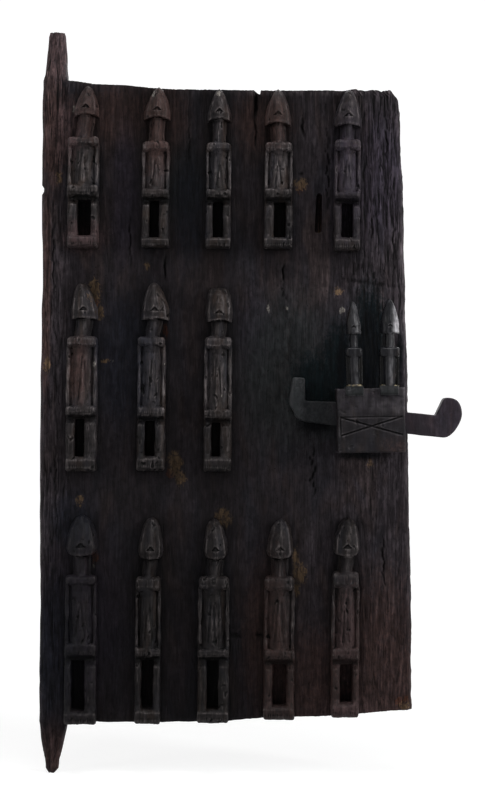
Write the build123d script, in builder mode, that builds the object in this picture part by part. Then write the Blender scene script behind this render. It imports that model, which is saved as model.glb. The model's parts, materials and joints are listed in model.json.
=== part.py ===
from build123d import *
from math import cos, radians, sin, tan
import os

os.makedirs("parts", exist_ok=True)

# Millimetres. X runs from the pivot axis to the free edge, Y from front to back,
# Z up the pivot axis, from the lower journal's lower end.

# Plank
plank_thickness = 24.0
hinge_edge = 14.0  # pivot axis to the hinge-side edge
free_edge_top = 343.5  # pivot axis to the free edge, at the top
free_edge_bottom = 361.0
plank_bottom = 48.0  # at the hinge side
bottom_rise = 15.5  # the free side's bottom corner stands this much higher
plank_top = 683.0
stile_rise = 7.0  # the top edge climbs this much to the upper pivot
stile_rise_length = 98.0
top_corner_radius = 9.0
bottom_corner_radius = 4.0
plank_edge_fillet = 4.0

# Pivots, whittled from the hinge side of the plank
upper_root_width = 26.0
upper_post_radius = 10.3
upper_post_length = 40.0  # plank's top to the journal
upper_journal_radius = 8.8
upper_journal_length = 14.0
upper_nose_fillet = 2.5
lower_root_width = 30.0
lower_post_radius = 8.4
lower_journal_radius = 7.2
lower_journal_length = 12.0
lower_nose_length = 4.2

# Worn blind slot in the plank's face, near the top of the free side
slot_right = 267.0
slot_bottom = 539.5
slot_height = 40.0
slot_depth = 17.0
slot_width_bottom = 7.8
slot_width_top = 5.6
slot_end_rounding = 0.45  # share of the slot's width at that end

# Relief figures, carved from the plank
relief = 20.0  # how far the figures stand out of the plank's face
leg_relief = 17.0
trunk_relief = 17.5
arm_relief = 12.0
arm_groove_relief = 7.0  # floor of the groove between an arm and the trunk
neck_relief = 14.0
crown_relief = 8.0
root_sink = 2.0  # overlap of a figure with the plank
leg_width = 8.5
arm_width = 4.0
arm_groove = 1.2
block_corner = 4.5  # rounding of the soles, hips and shoulders seen from above
block_bevel = 3.0
hip_undercut = 5.0
arch_waist_rise = 0.4  # share of a head's height at which its arch ...
arch_waist_width = 0.82  # ... has narrowed to this share of its width
first_column = 29.0  # pivot axis to the first column of figures
last_column_margin = 52.0  # last column to the free edge, at the top
columns = 5
crown_margin = 2.0  # crowns of the top row below the plank's top edge
middle_row_base = 302.0

top_row = {
    "sole": 11.0,
    "leg": 36.5,
    "hip": 12.0,
    "trunk": 37.0,
    "shoulder": 11.0,
    "neck": 18.0,
    "head": 33.0,
    "neck_width": 13.0,
    "nudges": (0.0, 6.5, 3.0, -2.5, 0.0),
    "widths": (30.5, 27.0, 25.0, 28.0, 26.0),
}
middle_row = {
    "sole": 13.0,
    "leg": 37.5,
    "hip": 12.0,
    "trunk": 58.5,
    "shoulder": 11.5,
    "neck": 16.5,
    "head": 36.0,
    "neck_width": 12.5,
    "nudges": (0.0, 3.5, 4.0),
    "widths": (29.5, 29.5, 29.5),
}
bottom_row = {
    "sole": 14.0,
    "leg": 48.5,
    "hip": 12.5,
    "trunk": 56.0,
    "shoulder": 14.0,
    "neck": 18.5,
    "head": 42.0,
    "neck_width": 14.0,
    "nudges": (1.0, 2.0, 1.5, 1.5, 1.5),
    "widths": (31.5, 27.0, 32.5, 30.5, 28.0),
}

# Bolt, set out along its own axis, which runs down towards the free edge
bolt_tilt = 7.0  # degrees
bolt_thickness = 22.0
bolt_height = 24.0
left_neck_height = 21.0  # the left arm thins to this at its hook
left_hook_inside = 65.5  # housing's middle to the hook's inner face
left_hook_width = 16.0
right_hook_inside = 64.5
right_hook_width = 28.0
hook_height = 19.0  # above the bar
hook_lean = 6.0  # the right hook's inner face leans outwards by this
left_hook_taper = 3.0  # the left hook narrows by this to its top
hook_corner = 14.0
hook_toe_rise = 4.8  # an outer corner is cut off from this height above the axis
bolt_edge_fillet = 1.5
bolt_face_gap = 0.4  # bolt to the plank, and to the front of its channel
bolt_side_gap = 0.5  # bolt to the top and bottom of its channel
stop_gap = 1.0  # hook to housing at each end of the travel

# Lock housing
housing_width = 66.5
housing_height = 63.0
housing_depth = 44.0
housing_turn = 1.5  # degrees, as it sits slightly off plumb
housing_inset = 4.5  # its side to the plank's free edge
housing_middle = 353.0  # height of its centre
bolt_rise = 2.0  # bolt's axis over the housing's centre
housing_edge_fillet = 2.0
scratch_width = 1.2
scratch_depth = 0.8
scratch_top = 28.0  # housing's top edge to the scratched line
scratch_margin = 3.0
scratch_bottom = 17.0  # housing's bottom edge to the lower ends of the cross

# Plinths and the two figures in the round
plinth_width = 17.5
plinth_depth = 18.0
plinth_proud = 3.0  # in front of the housing's face
plinth_rise = 2.2  # above the housing's top
plinth_drop = 7.0
plinth_spacing = 34.0
plinth_shift = 0.9  # middle of the pair to the right of the housing's middle
resin_gap = 0.3
figure_tenon_radius = 2.5
figure_tenon_length = 8.0
figure_tenon_gap = 0.15
lock_arm_width = 3.2
lock_arm_depth = 8.0
lock_figure_fillet = 2.0
lock_head_swell = 0.55  # share of the head's height at which its sides turn inwards
left_figure = {
    "lean": 1.5,
    "trunk": 28.5,
    "shoulder": 9.0,
    "neck": 13.0,
    "head": 32.0,
    "trunk_width": 9.5,
    "shoulder_width": 16.5,
    "neck_width": 7.8,
    "head_width": 14.0,
    "depth": 14.0,
}
right_figure = {
    "lean": 0.3,
    "trunk": 28.5,
    "shoulder": 9.0,
    "neck": 13.5,
    "head": 34.0,
    "trunk_width": 11.5,
    "shoulder_width": 19.5,
    "neck_width": 9.0,
    "head_width": 18.0,
    "depth": 16.0,
}

# Tumblers: headed iron pins, which drop into the bolt
tumbler_names = ("tumbler_left", "tumbler_middle", "tumbler_right")
tumbler_pitch = 12.0
tumbler_shift = 8.0  # middle tumbler to the right of the housing's middle
tumbler_radius = 2.4
tumbler_head_radius = 4.0
tumbler_head_height = 2.2
tumbler_drop = 5.5
tumbler_lift = 2.5
tumbler_ledge = 2.2  # wood under the head's lowest place
tumbler_tip_fillet = 1.2
tumbler_gap = 0.35
tumbler_rest_gap = 0.3

# Keyway in the bolt's back, reached from its left end
keyway_height = 9.0
keyway_depth = 14.0
keyway_end_margin = 6.0
bolt_hole_gap = 0.9  # around a tumbler in the bolt

# Tenons behind the housing, and the wedges through them
tenon_reach = 18.0  # past the back of the plank
upper_tenon_width = 15.0
upper_tenon_height = 9.0
upper_tenon_side = 3.0  # to the housing's hinge-side face
lower_tenon_width = 40.0
lower_tenon_height = 12.0
tenon_edge = 2.0  # to the housing's top or bottom
mortise_gap = 0.3
wedge_thickness = 5.0
wedge_gap = 0.2
upper_wedge_width = 6.0
lower_wedge_width = 8.0
wedge_taper = 1.5  # narrower at the foot, over the whole length
wedge_length = 30.0

# Places worked out from the sizes above
plank_face = plank_thickness / 2
front_plane = Plane.XZ.offset(plank_face)
back_plane = Plane.XZ.offset(-plank_face)
stile_top = plank_top + stile_rise
free_side_bottom = plank_bottom + bottom_rise
lower_root_right = lower_root_width - hinge_edge
edge_slope = (free_edge_bottom - free_edge_top) / (plank_top - free_side_bottom)
column_pitch = (free_edge_top - last_column_margin - first_column) / (columns - 1)
upper_journal_start = plank_top + upper_post_length


def bottom_edge_at(x):
    """Height of the plank's bottom edge, a parabola that rises to the free side."""
    share = (x - lower_root_right) / (free_edge_bottom - lower_root_right)
    return plank_bottom + bottom_rise * max(0.0, share) ** 2


free_edge = free_edge_top + (plank_top - housing_middle) * edge_slope
housing_x = free_edge - housing_inset - housing_width / 2
bolt_z = housing_middle + bolt_rise
bolt_half = bolt_height / 2
bolt_direction = (cos(radians(bolt_tilt)), 0, -sin(radians(bolt_tilt)))
housing_direction = (cos(radians(housing_turn)), 0, sin(radians(housing_turn)))
bolt_origin = (housing_x, -plank_face - bolt_face_gap, bolt_z)
housing_origin = (housing_x, -plank_face, housing_middle)
bolt_plane = Plane(origin=bolt_origin, x_dir=bolt_direction, z_dir=(0, -1, 0))
housing_plane = Plane(origin=housing_origin, x_dir=housing_direction, z_dir=(0, -1, 0))
tumbler_y = -plank_face - bolt_face_gap - bolt_thickness / 2
channel_half = bolt_half + bolt_side_gap


def above_bolt_axis(x, rise):
    """Height at x of a line along the bolt, this far above its axis."""
    return bolt_z + rise / cos(radians(bolt_tilt)) - (x - housing_x) * tan(radians(bolt_tilt))


# Travel of the bolt each way from rest, until a hook comes to the housing
side_slant = (hook_height + bolt_half) * tan(radians(bolt_tilt + housing_turn)) / 2
travel_out = left_hook_inside - housing_width / 2 - side_slant - stop_gap
travel_in = right_hook_inside - housing_width / 2 - stop_gap


def block_side(low, high, undercut):
    """Corners, seen from the side, of one of a figure's full-width blocks."""
    root = root_sink - plank_face
    face = -plank_face - relief
    return (
        (root, low),
        (face + undercut, low),
        (face, low + undercut),
        (face, high - block_bevel),
        (face + block_bevel, high),
        (root, high),
    )


def ogive(x, chin, width, height):
    """Pointed arch that stands on the chin line."""
    half = width / 2
    waist = chin + arch_waist_rise * height
    crown = (x, chin + height)
    with BuildSketch() as arch:
        with BuildLine():
            Line((x - half, chin), (x + half, chin))
            ThreePointArc((x + half, chin), (x + arch_waist_width * half, waist), crown)
            ThreePointArc(crown, (x - arch_waist_width * half, waist), (x - half, chin))
        make_face()
    return arch.sketch


def relief_head(x, chin, width, height):
    """Arched head with an upright ridge, which leans back to the crown."""
    root = root_sink - plank_face
    side = -plank_face - crown_relief
    ridge = -plank_face - relief
    with BuildPart() as head:
        with BuildSketch(front_plane.offset(-root_sink)):
            add(ogive(x, chin, width, height))
        extrude(amount=relief + root_sink)
        with BuildSketch(Plane.XY.offset(chin)):
            with BuildLine():
                Polyline(
                    (x - width / 2, root),
                    (x - width / 2, side),
                    (x, ridge),
                    (x + width / 2, side),
                    (x + width / 2, root),
                    close=True,
                )
            make_face()
        extrude(amount=height, mode=Mode.INTERSECT)
        with BuildSketch(Plane.YZ.offset(x - width / 2)):
            with BuildLine():
                Line((root, chin), (ridge, chin))
                Bezier((ridge, chin), (ridge, chin + height / 2), (side, chin + height))
                Line((side, chin + height), (root, chin + height))
                Line((root, chin + height), (root, chin))
            make_face()
        extrude(amount=width, mode=Mode.INTERSECT)
    return head.part


def relief_figure(x, base, width, row):
    """Standing figure on the plank's face, its soles at base."""
    sole_top = base + row["sole"]
    hip_bottom = sole_top + row["leg"]
    hip_top = hip_bottom + row["hip"]
    shoulder_bottom = hip_top + row["trunk"]
    shoulder_top = shoulder_bottom + row["shoulder"]
    chin = shoulder_top + row["neck"]
    leg_offset = (width - leg_width) / 2
    arm_offset = (width - arm_width) / 2
    overlap = block_bevel
    head = relief_head(x, chin, width, row["head"])
    with BuildPart() as figure:
        with BuildSketch(Plane.YZ.offset(x - width / 2)):
            for block in (
                (base, sole_top, block_bevel),
                (hip_bottom, hip_top, hip_undercut),
                (shoulder_bottom, shoulder_top, block_bevel),
            ):
                with BuildLine():
                    Polyline(*block_side(*block), close=True)
                make_face()
        extrude(amount=width)
        with BuildSketch(Plane.XY.offset(base)):
            with Locations((x, -plank_face)):
                RectangleRounded(width, 2 * relief, block_corner)
        extrude(amount=chin - base, mode=Mode.INTERSECT)
        with BuildSketch(Plane.XY.offset(sole_top - overlap)):
            with Locations((x - leg_offset, -plank_face), (x + leg_offset, -plank_face)):
                RectangleRounded(leg_width, 2 * leg_relief, leg_width / 4)
        extrude(amount=row["leg"] + 2 * overlap)
        with BuildSketch(Plane.XY.offset(hip_top - overlap)):
            with Locations((x, -plank_face)):
                Ellipse(width / 2 - arm_width - arm_groove, trunk_relief)
                Rectangle(width - arm_width, 2 * arm_groove_relief)
            with Locations((x - arm_offset, -plank_face), (x + arm_offset, -plank_face)):
                RectangleRounded(arm_width, 2 * arm_relief, arm_width / 4)
        extrude(amount=row["trunk"] + 2 * overlap)
        with BuildSketch(Plane.XY.offset(shoulder_top - overlap)):
            with Locations((x, -plank_face)):
                Ellipse(row["neck_width"] / 2, neck_relief)
        extrude(amount=row["neck"] + 2 * overlap)
        add(head)
        split(bisect_by=front_plane.offset(-root_sink), keep=Keep.TOP)
    return figure.part


def row_of_figures(row, base=None):
    """A row's figures, on one base line or along the plank's bottom edge."""
    figures = []
    for column, (nudge, width) in enumerate(zip(row["nudges"], row["widths"])):
        x = first_column + column * column_pitch + nudge
        foot = bottom_edge_at(x) if base is None else base
        figures.append(relief_figure(x, foot, width, row))
    return figures


stacked = ("sole", "leg", "hip", "trunk", "shoulder", "neck", "head")
top_row_base = plank_top - crown_margin - sum(top_row[name] for name in stacked)
relief_figures = row_of_figures(top_row, top_row_base)
relief_figures += row_of_figures(middle_row, middle_row_base)
relief_figures += row_of_figures(bottom_row)

# Tenons in the housing's own plane: middle, width and height
upper_tenon = (
    upper_tenon_side + (upper_tenon_width - housing_width) / 2,
    (housing_height - upper_tenon_height) / 2 - tenon_edge,
    upper_tenon_width,
    upper_tenon_height,
)
lower_tenon = (
    0.0,
    (lower_tenon_height - housing_height) / 2 + tenon_edge,
    lower_tenon_width,
    lower_tenon_height,
)

with BuildPart() as door_board:
    with BuildSketch(back_plane) as plank_outline:
        with BuildLine():
            Polyline(
                (lower_root_right, plank_bottom),
                (-hinge_edge, plank_bottom),
                (-hinge_edge, stile_top),
                (upper_root_width - hinge_edge, stile_top),
                (upper_root_width - hinge_edge + stile_rise_length, plank_top),
                (free_edge_top, plank_top),
                (free_edge_bottom, free_side_bottom),
            )
            Bezier(
                (free_edge_bottom, free_side_bottom),
                ((free_edge_bottom + lower_root_right) / 2, plank_bottom),
                (lower_root_right, plank_bottom),
            )
        make_face()
        fillet(plank_outline.vertices().sort_by(Axis.X)[-1], bottom_corner_radius)
        fillet(plank_outline.vertices().group_by(Axis.Y)[-2].sort_by(Axis.X)[-1], top_corner_radius)
    extrude(amount=plank_thickness)
    half_height = (plank_top - plank_bottom) / 2
    long_edges = door_board.edges().filter_by(lambda edge: edge.length > half_height)
    fillet(long_edges, plank_edge_fillet)

    # Upper pivot
    with BuildSketch(Plane.XY.offset(stile_top)):
        with Locations((upper_root_width / 2 - hinge_edge, 0)):
            RectangleRounded(upper_root_width, plank_thickness, plank_edge_fillet)
    with BuildSketch(Plane.XY.offset(upper_journal_start)):
        Circle(upper_post_radius)
    loft()
    with BuildSketch(Plane.XY.offset(upper_journal_start)):
        Circle(upper_journal_radius)
    extrude(amount=upper_journal_length + upper_nose_fillet)
    fillet(door_board.edges().sort_by(Axis.Z)[-1], upper_nose_fillet)

    # Lower pivot
    with BuildSketch(Plane.XY.offset(lower_journal_length)):
        Circle(lower_post_radius)
    with BuildSketch(Plane.XY.offset(plank_bottom)):
        with Locations((lower_root_width / 2 - hinge_edge, 0)):
            RectangleRounded(lower_root_width, plank_thickness, plank_edge_fillet)
    loft()
    with BuildSketch(Plane.XZ):
        with BuildLine():
            Line((0, -lower_nose_length), (0, lower_journal_length))
            Line((0, lower_journal_length), (lower_journal_radius, lower_journal_length))
            Line((lower_journal_radius, lower_journal_length), (lower_journal_radius, 0))
            Bezier(
                (lower_journal_radius, 0),
                (lower_journal_radius, -lower_nose_length),
                (0, -lower_nose_length),
            )
        make_face()
    revolve(axis=Axis.Z)

    for relief_carving in relief_figures:
        add(relief_carving)

    with BuildSketch(front_plane):
        with BuildLine():
            Polyline(
                (slot_right - slot_width_bottom, slot_bottom),
                (slot_right, slot_bottom),
                (slot_right, slot_bottom + slot_height),
                (slot_right - slot_width_top, slot_bottom + slot_height),
                close=True,
            )
        slot = make_face()
        fillet(slot.vertices().group_by(Axis.Y)[0], slot_end_rounding * slot_width_bottom)
        fillet(slot.vertices().group_by(Axis.Y)[-1], slot_end_rounding * slot_width_top)
    extrude(amount=-slot_depth, mode=Mode.SUBTRACT)

    with BuildSketch(housing_plane):
        for across, up, width, height in (upper_tenon, lower_tenon):
            with Locations((across, up)):
                Rectangle(width + 2 * mortise_gap, height + 2 * mortise_gap)
    extrude(amount=-plank_thickness, mode=Mode.SUBTRACT)
door_board.part.label = "door_board"

# Bolt
left_inside = -left_hook_inside
left_outside = left_inside - left_hook_width
right_outside = right_hook_inside + right_hook_width
hook_top = bolt_half + hook_height
with BuildPart() as bolt:
    with BuildSketch(bolt_plane):
        with BuildLine():
            Polyline(
                (left_outside, hook_top),
                (left_outside, hook_toe_rise),
                (left_outside + hook_corner, -bolt_half),
                (right_outside - hook_corner, -bolt_half),
                (right_outside, hook_toe_rise),
                (right_outside - hook_lean, hook_top),
                (right_hook_inside + hook_lean, hook_top),
                (right_hook_inside, bolt_half),
                (-housing_width / 2, bolt_half),
                (left_inside, left_neck_height - bolt_half),
                (left_inside - left_hook_taper, hook_top),
                close=True,
            )
        outline = make_face()
        low_corners = outline.vertices().sort_by(Axis.Y)[:2]
        outer_corners = outline.vertices().filter_by_position(Axis.Y, 0, hook_toe_rise)
        fillet(low_corners + outer_corners, hook_corner)
    extrude(amount=bolt_thickness)
    fillet(bolt.faces().sort_by(Axis.Y)[0].edges(), bolt_edge_fillet)
    tumbler_places = [
        housing_x + tumbler_shift + step * tumbler_pitch for step in range(-1, len(tumbler_names) - 1)
    ]
    lock_shift = travel_out * cos(radians(bolt_tilt))
    keyway_end = tumbler_places[-1] - lock_shift - housing_x + keyway_end_margin
    with BuildSketch(bolt_plane):
        with Locations(((left_outside + keyway_end) / 2, 0)):
            Rectangle(keyway_end - left_outside, keyway_height)
    extrude(amount=keyway_depth, mode=Mode.SUBTRACT)
    for place in tumbler_places:
        with BuildSketch(Plane.XY.offset(above_bolt_axis(place - lock_shift, 0))):
            with Locations((place - lock_shift, tumbler_y)):
                Circle(tumbler_radius + bolt_hole_gap)
        extrude(amount=bolt_height, mode=Mode.SUBTRACT)
bolt.part.label = "bolt"

# Lock housing
plinth_sides = (plinth_shift - plinth_spacing / 2, plinth_shift + plinth_spacing / 2)
plinth_top = housing_height / 2 + plinth_rise
plinth_front = housing_depth + plinth_proud
figure_middle = plinth_front - plinth_depth / 2


def figure_seat(side, lean):
    """Plane on a plinth's top, with its normal along the figure that stands there."""
    across = (cos(radians(lean)), 0, sin(radians(lean)))
    upright = (-sin(radians(lean)), 0, cos(radians(lean)))
    foot = housing_plane.from_local_coords(Vector(side, plinth_top, figure_middle))
    return Plane(origin=foot, x_dir=across, z_dir=upright)


figure_seats = [
    figure_seat(side, figure["lean"]) for side, figure in zip(plinth_sides, (left_figure, right_figure))
]

with BuildPart() as lock_housing:
    with BuildSketch(housing_plane):
        Rectangle(housing_width, housing_height)
    extrude(amount=housing_depth)
    fillet(lock_housing.faces().sort_by(Axis.Y)[0].edges(), housing_edge_fillet)
    with BuildSketch(housing_plane.offset(plinth_front)):
        for side in plinth_sides:
            with Locations((side, plinth_top - (plinth_rise + plinth_drop) / 2)):
                Rectangle(plinth_width, plinth_rise + plinth_drop)
    extrude(amount=-plinth_depth)
    for across, up, width, height in (upper_tenon, lower_tenon):
        with BuildSketch(housing_plane):
            with Locations((across, up)):
                Rectangle(width, height)
        extrude(amount=-plank_thickness - tenon_reach)

    # Channel for the bolt
    with BuildSketch(bolt_plane.offset(-bolt_face_gap)):
        Rectangle(2 * housing_width, 2 * channel_half)
    extrude(amount=bolt_thickness + 2 * bolt_face_gap, mode=Mode.SUBTRACT)

    # Wells for the tumblers, open to the plank behind
    for place in tumbler_places:
        ledge_z = above_bolt_axis(place, channel_half) + tumbler_ledge
        roof = tumbler_drop + tumbler_head_height + tumbler_lift + tumbler_gap
        wells = (
            (above_bolt_axis(place, bolt_half / 2), tumbler_radius, ledge_z),
            (ledge_z, tumbler_head_radius, ledge_z + roof),
        )
        for low, radius, high in wells:
            back = -tumbler_y - plank_face
            with BuildSketch(Plane.XY.offset(low)):
                with Locations((place, tumbler_y)):
                    Circle(radius + tumbler_gap)
                with Locations((place, tumbler_y + back / 2)):
                    Rectangle(2 * (radius + tumbler_gap), back)
            extrude(amount=high - low, mode=Mode.SUBTRACT)

    # Sockets for the figures' tenons
    for seat in figure_seats:
        with BuildSketch(seat.offset(plinth_rise)):
            Circle(figure_tenon_radius + figure_tenon_gap)
        extrude(amount=-plinth_rise - figure_tenon_length - figure_tenon_gap, mode=Mode.SUBTRACT)

    # Slots for the wedges
    wedge_slots = ((upper_tenon, upper_wedge_width), (lower_tenon, lower_wedge_width))
    with BuildSketch(housing_plane.offset(-plank_thickness + wedge_gap)):
        for (across, up, _, height), width in wedge_slots:
            with Locations((across, up)):
                Rectangle(width + 2 * wedge_gap, 2 * height)
    extrude(amount=-wedge_thickness - 2 * wedge_gap, mode=Mode.SUBTRACT)

    # Scratched line and cross on the front
    line_z = housing_height / 2 - scratch_top
    foot_z = scratch_bottom - housing_height / 2
    reach = housing_width / 2 - scratch_margin
    for start, end in (
        ((-reach, line_z), (reach, line_z)),
        ((-reach, line_z), (-reach, foot_z)),
        ((-reach, line_z), (reach, foot_z)),
        ((reach, line_z), (-reach, foot_z)),
    ):
        with BuildSketch(housing_plane.offset(housing_depth)):
            with BuildLine():
                Line(start, end)
            trace(line_width=scratch_width)
        extrude(amount=-scratch_depth, mode=Mode.SUBTRACT)
lock_housing.part.label = "lock_housing"


def lock_figure(seat, figure):
    """Small standing figure in the round, with a tenon into its plinth."""
    shoulder_bottom = resin_gap + figure["trunk"]
    shoulder_top = shoulder_bottom + figure["shoulder"]
    chin = shoulder_top + figure["neck"]
    head_radius = figure["head_width"] / 2
    arm_offset = (figure["shoulder_width"] - lock_arm_width) / 2
    with BuildPart() as standing:
        with BuildSketch(seat.offset(shoulder_bottom)):
            RectangleRounded(figure["shoulder_width"], figure["depth"], 2 * lock_figure_fillet)
        extrude(amount=figure["shoulder"])
        rims = standing.faces().sort_by(Axis.Z)
        fillet(rims[0].edges() + rims[-1].edges(), lock_figure_fillet)
        with BuildSketch(seat.offset(resin_gap)):
            Ellipse(figure["trunk_width"] / 2, figure["depth"] / 2 - lock_figure_fillet / 2)
            Rectangle(figure["shoulder_width"] - lock_arm_width, lock_arm_depth / 2)
            with Locations((-arm_offset, 0), (arm_offset, 0)):
                RectangleRounded(lock_arm_width, lock_arm_depth, lock_arm_width / 4)
        extrude(amount=figure["trunk"] + lock_figure_fillet)
        with BuildSketch(seat.offset(shoulder_top - lock_figure_fillet)):
            Circle(figure["neck_width"] / 2)
        extrude(amount=figure["neck"] + 2 * lock_figure_fillet)
        with BuildSketch(Plane(origin=seat.origin, x_dir=seat.x_dir, z_dir=(0, -1, 0))):
            with BuildLine():
                Line((0, chin), (head_radius, chin))
                Bezier(
                    (head_radius, chin),
                    (head_radius, chin + lock_head_swell * figure["head"]),
                    (0, chin + figure["head"]),
                )
                Line((0, chin + figure["head"]), (0, chin))
            make_face()
        revolve(axis=Axis(seat.origin, seat.z_dir))
        with BuildSketch(seat.offset(resin_gap)):
            Circle(figure_tenon_radius)
        extrude(amount=-resin_gap - figure_tenon_length)
    return standing.part


figure_sizes = (left_figure, right_figure)
lock_figures = [lock_figure(seat, figure) for seat, figure in zip(figure_seats, figure_sizes)]
lock_figures[0].label = "lock_figure_left"
lock_figures[1].label = "lock_figure_right"

# Tumblers, lifted, with their tips just clear of the bolt
tumblers = []
for tumbler_name, place in zip(tumbler_names, tumbler_places):
    tip_z = above_bolt_axis(place - tumbler_radius, bolt_half) + tumbler_rest_gap
    head_z = above_bolt_axis(place, channel_half) + tumbler_ledge + tumbler_drop
    with BuildPart() as tumbler:
        with BuildSketch(Plane.XY.offset(tip_z)):
            with Locations((place, tumbler_y)):
                Circle(tumbler_radius)
        extrude(amount=head_z - tip_z + tumbler_head_height / 2)
        fillet(tumbler.edges().sort_by(Axis.Z)[0], tumbler_tip_fillet)
        with BuildSketch(Plane.XY.offset(head_z)):
            with Locations((place, tumbler_y)):
                Circle(tumbler_head_radius)
        extrude(amount=tumbler_head_height)
    tumbler.part.label = tumbler_name
    tumblers.append(tumbler.part)

# Wedges, against the plank's back
wedges = []
for name, tenon, width in (
    ("wedge_upper", upper_tenon, upper_wedge_width),
    ("wedge_lower", lower_tenon, lower_wedge_width),
):
    across, up = tenon[:2]
    top = up + wedge_length / 2
    foot = up - wedge_length / 2
    with BuildPart() as wedge:
        with BuildSketch(housing_plane.offset(-plank_thickness)):
            with BuildLine():
                Polyline(
                    (across - width / 2, top),
                    (across + width / 2, top),
                    (across + (width - wedge_taper) / 2, foot),
                    (across - (width - wedge_taper) / 2, foot),
                    close=True,
                )
            make_face()
        extrude(amount=-wedge_thickness)
    wedge.part.label = name
    wedges.append(wedge.part)

for piece in [door_board.part, lock_housing.part, bolt.part, *lock_figures, *tumblers, *wedges]:
    export_step(piece, f"parts/{piece.label}.step")

print("housing middle x", round(housing_x, 2), "bolt z", round(bolt_z, 2))
print("travel in", round(-travel_in, 2), "out", round(travel_out, 2))
print("tumbler places", [round(place, 2) for place in tumbler_places], "y", round(tumbler_y, 2))
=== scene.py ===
import json
import math
import random

import bmesh
import bpy
import numpy as np
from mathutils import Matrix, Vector, noise

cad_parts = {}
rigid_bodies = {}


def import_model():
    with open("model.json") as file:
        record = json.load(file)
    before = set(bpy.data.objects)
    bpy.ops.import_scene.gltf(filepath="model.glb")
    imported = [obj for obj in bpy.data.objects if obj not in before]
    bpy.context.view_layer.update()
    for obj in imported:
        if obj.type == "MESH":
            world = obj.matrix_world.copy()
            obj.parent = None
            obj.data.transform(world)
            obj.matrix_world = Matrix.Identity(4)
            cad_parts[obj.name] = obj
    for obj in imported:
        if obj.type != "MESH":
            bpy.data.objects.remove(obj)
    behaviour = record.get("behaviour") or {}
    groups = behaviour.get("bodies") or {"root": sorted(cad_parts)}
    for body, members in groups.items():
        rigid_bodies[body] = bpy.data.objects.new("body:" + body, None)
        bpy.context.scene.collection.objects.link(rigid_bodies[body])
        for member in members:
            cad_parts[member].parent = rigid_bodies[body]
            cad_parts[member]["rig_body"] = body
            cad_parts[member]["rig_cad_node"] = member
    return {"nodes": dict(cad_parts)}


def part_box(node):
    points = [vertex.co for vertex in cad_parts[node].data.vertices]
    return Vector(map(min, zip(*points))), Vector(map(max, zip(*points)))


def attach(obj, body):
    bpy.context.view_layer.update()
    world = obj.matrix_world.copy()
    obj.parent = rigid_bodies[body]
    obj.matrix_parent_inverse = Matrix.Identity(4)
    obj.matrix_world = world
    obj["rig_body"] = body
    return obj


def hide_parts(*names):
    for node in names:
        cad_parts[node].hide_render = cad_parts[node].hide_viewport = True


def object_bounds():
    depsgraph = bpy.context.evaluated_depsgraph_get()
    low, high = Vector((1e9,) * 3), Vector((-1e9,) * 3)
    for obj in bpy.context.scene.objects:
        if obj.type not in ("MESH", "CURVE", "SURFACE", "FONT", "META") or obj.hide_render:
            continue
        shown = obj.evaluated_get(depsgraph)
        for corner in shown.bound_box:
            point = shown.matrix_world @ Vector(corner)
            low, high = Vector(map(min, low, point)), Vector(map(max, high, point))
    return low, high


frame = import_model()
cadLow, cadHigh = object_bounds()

mm = 0.001
random.seed(11)
print("frame loaded")


# Selecting, meshes and points

def pick(*objects):
    bpy.ops.object.select_all(action="DESELECT")
    for thing in objects:
        thing.select_set(True)
    bpy.context.view_layer.objects.active = objects[0]


def settle(thing):
    pick(thing)
    bpy.ops.object.transform_apply(location=True, rotation=True, scale=True)
    return thing


def modify(thing, name, kind, **settings):
    pick(thing)
    modifier = thing.modifiers.new(name, kind)
    for key, value in settings.items():
        setattr(modifier, key, value)
    bpy.ops.object.modifier_apply(modifier=name)


def joined(name, *parts):
    pick(*parts)
    if len(parts) > 1:
        bpy.ops.object.join()
    piece = bpy.context.view_layer.objects.active
    piece.name = name
    piece.data.name = name
    return piece


def fused(piece, voxel, smoothing=0):
    modify(piece, "fuse", "REMESH", mode="VOXEL", voxel_size=voxel * mm)
    if smoothing:
        modify(piece, "soften", "SMOOTH", factor=0.5, iterations=smoothing)
    return piece


def readPoints(piece):
    points = np.empty(len(piece.data.vertices) * 3)
    piece.data.vertices.foreach_get("co", points)
    return points.reshape(-1, 3) / mm


def writePoints(piece, points):
    piece.data.vertices.foreach_set("co", (points * mm).astype(np.float32).ravel())
    piece.data.update()


def readNormals(piece):
    normals = np.empty(len(piece.data.vertices) * 3)
    piece.data.vertices.foreach_get("normal", normals)
    return normals.reshape(-1, 3)


def roughness(points, size, seed=0, octaves=3):
    # noise whose lumps are size = (across, deep, tall) millimetres
    scaled = points / np.array(size, float) + seed * 17.3
    return np.array([noise.fractal(Vector(p), 0.9, 2.0, octaves) for p in scaled])


def grainLines(points, across, tall, wander, seed, thickness=0.2):
    # thin wandering furrows along the grain, 0 to 1: where a long-stretched noise crosses zero
    bent = points.copy()
    if wander:
        bent[:, 0] += wander * roughness(points, (14, 14, 20), seed + 3, 1)
    field = roughness(bent, (across, across * 2, tall), seed, 2)
    broken = smoothStep(roughness(points, (across * 2, 9, tall * 0.6), seed + 7, 1), -0.25, 0.15)
    return np.exp(-((field / thickness) ** 2)) * broken


def smoothStep(values, low, high):
    share = np.clip((values - low) / (high - low), 0, 1)
    return share * share * (3 - 2 * share)


def convexity(piece, points, normals, passes=8):
    # how far each point stands out from its evened surroundings, in millimetres
    ends = np.empty(len(piece.data.edges) * 2, np.int32)
    piece.data.edges.foreach_get("vertices", ends)
    first, second = ends.reshape(-1, 2).T
    count = len(points)
    share = np.maximum(np.bincount(first, minlength=count) + np.bincount(second, minlength=count), 1)
    evened = points.copy()
    for _ in range(passes):
        for axis in range(3):
            values = evened[:, axis]
            total = np.bincount(first, values[second], count) + np.bincount(second, values[first], count)
            evened[:, axis] = (values + total / share) / 2
    return ((points - evened) * normals).sum(axis=1)


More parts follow.
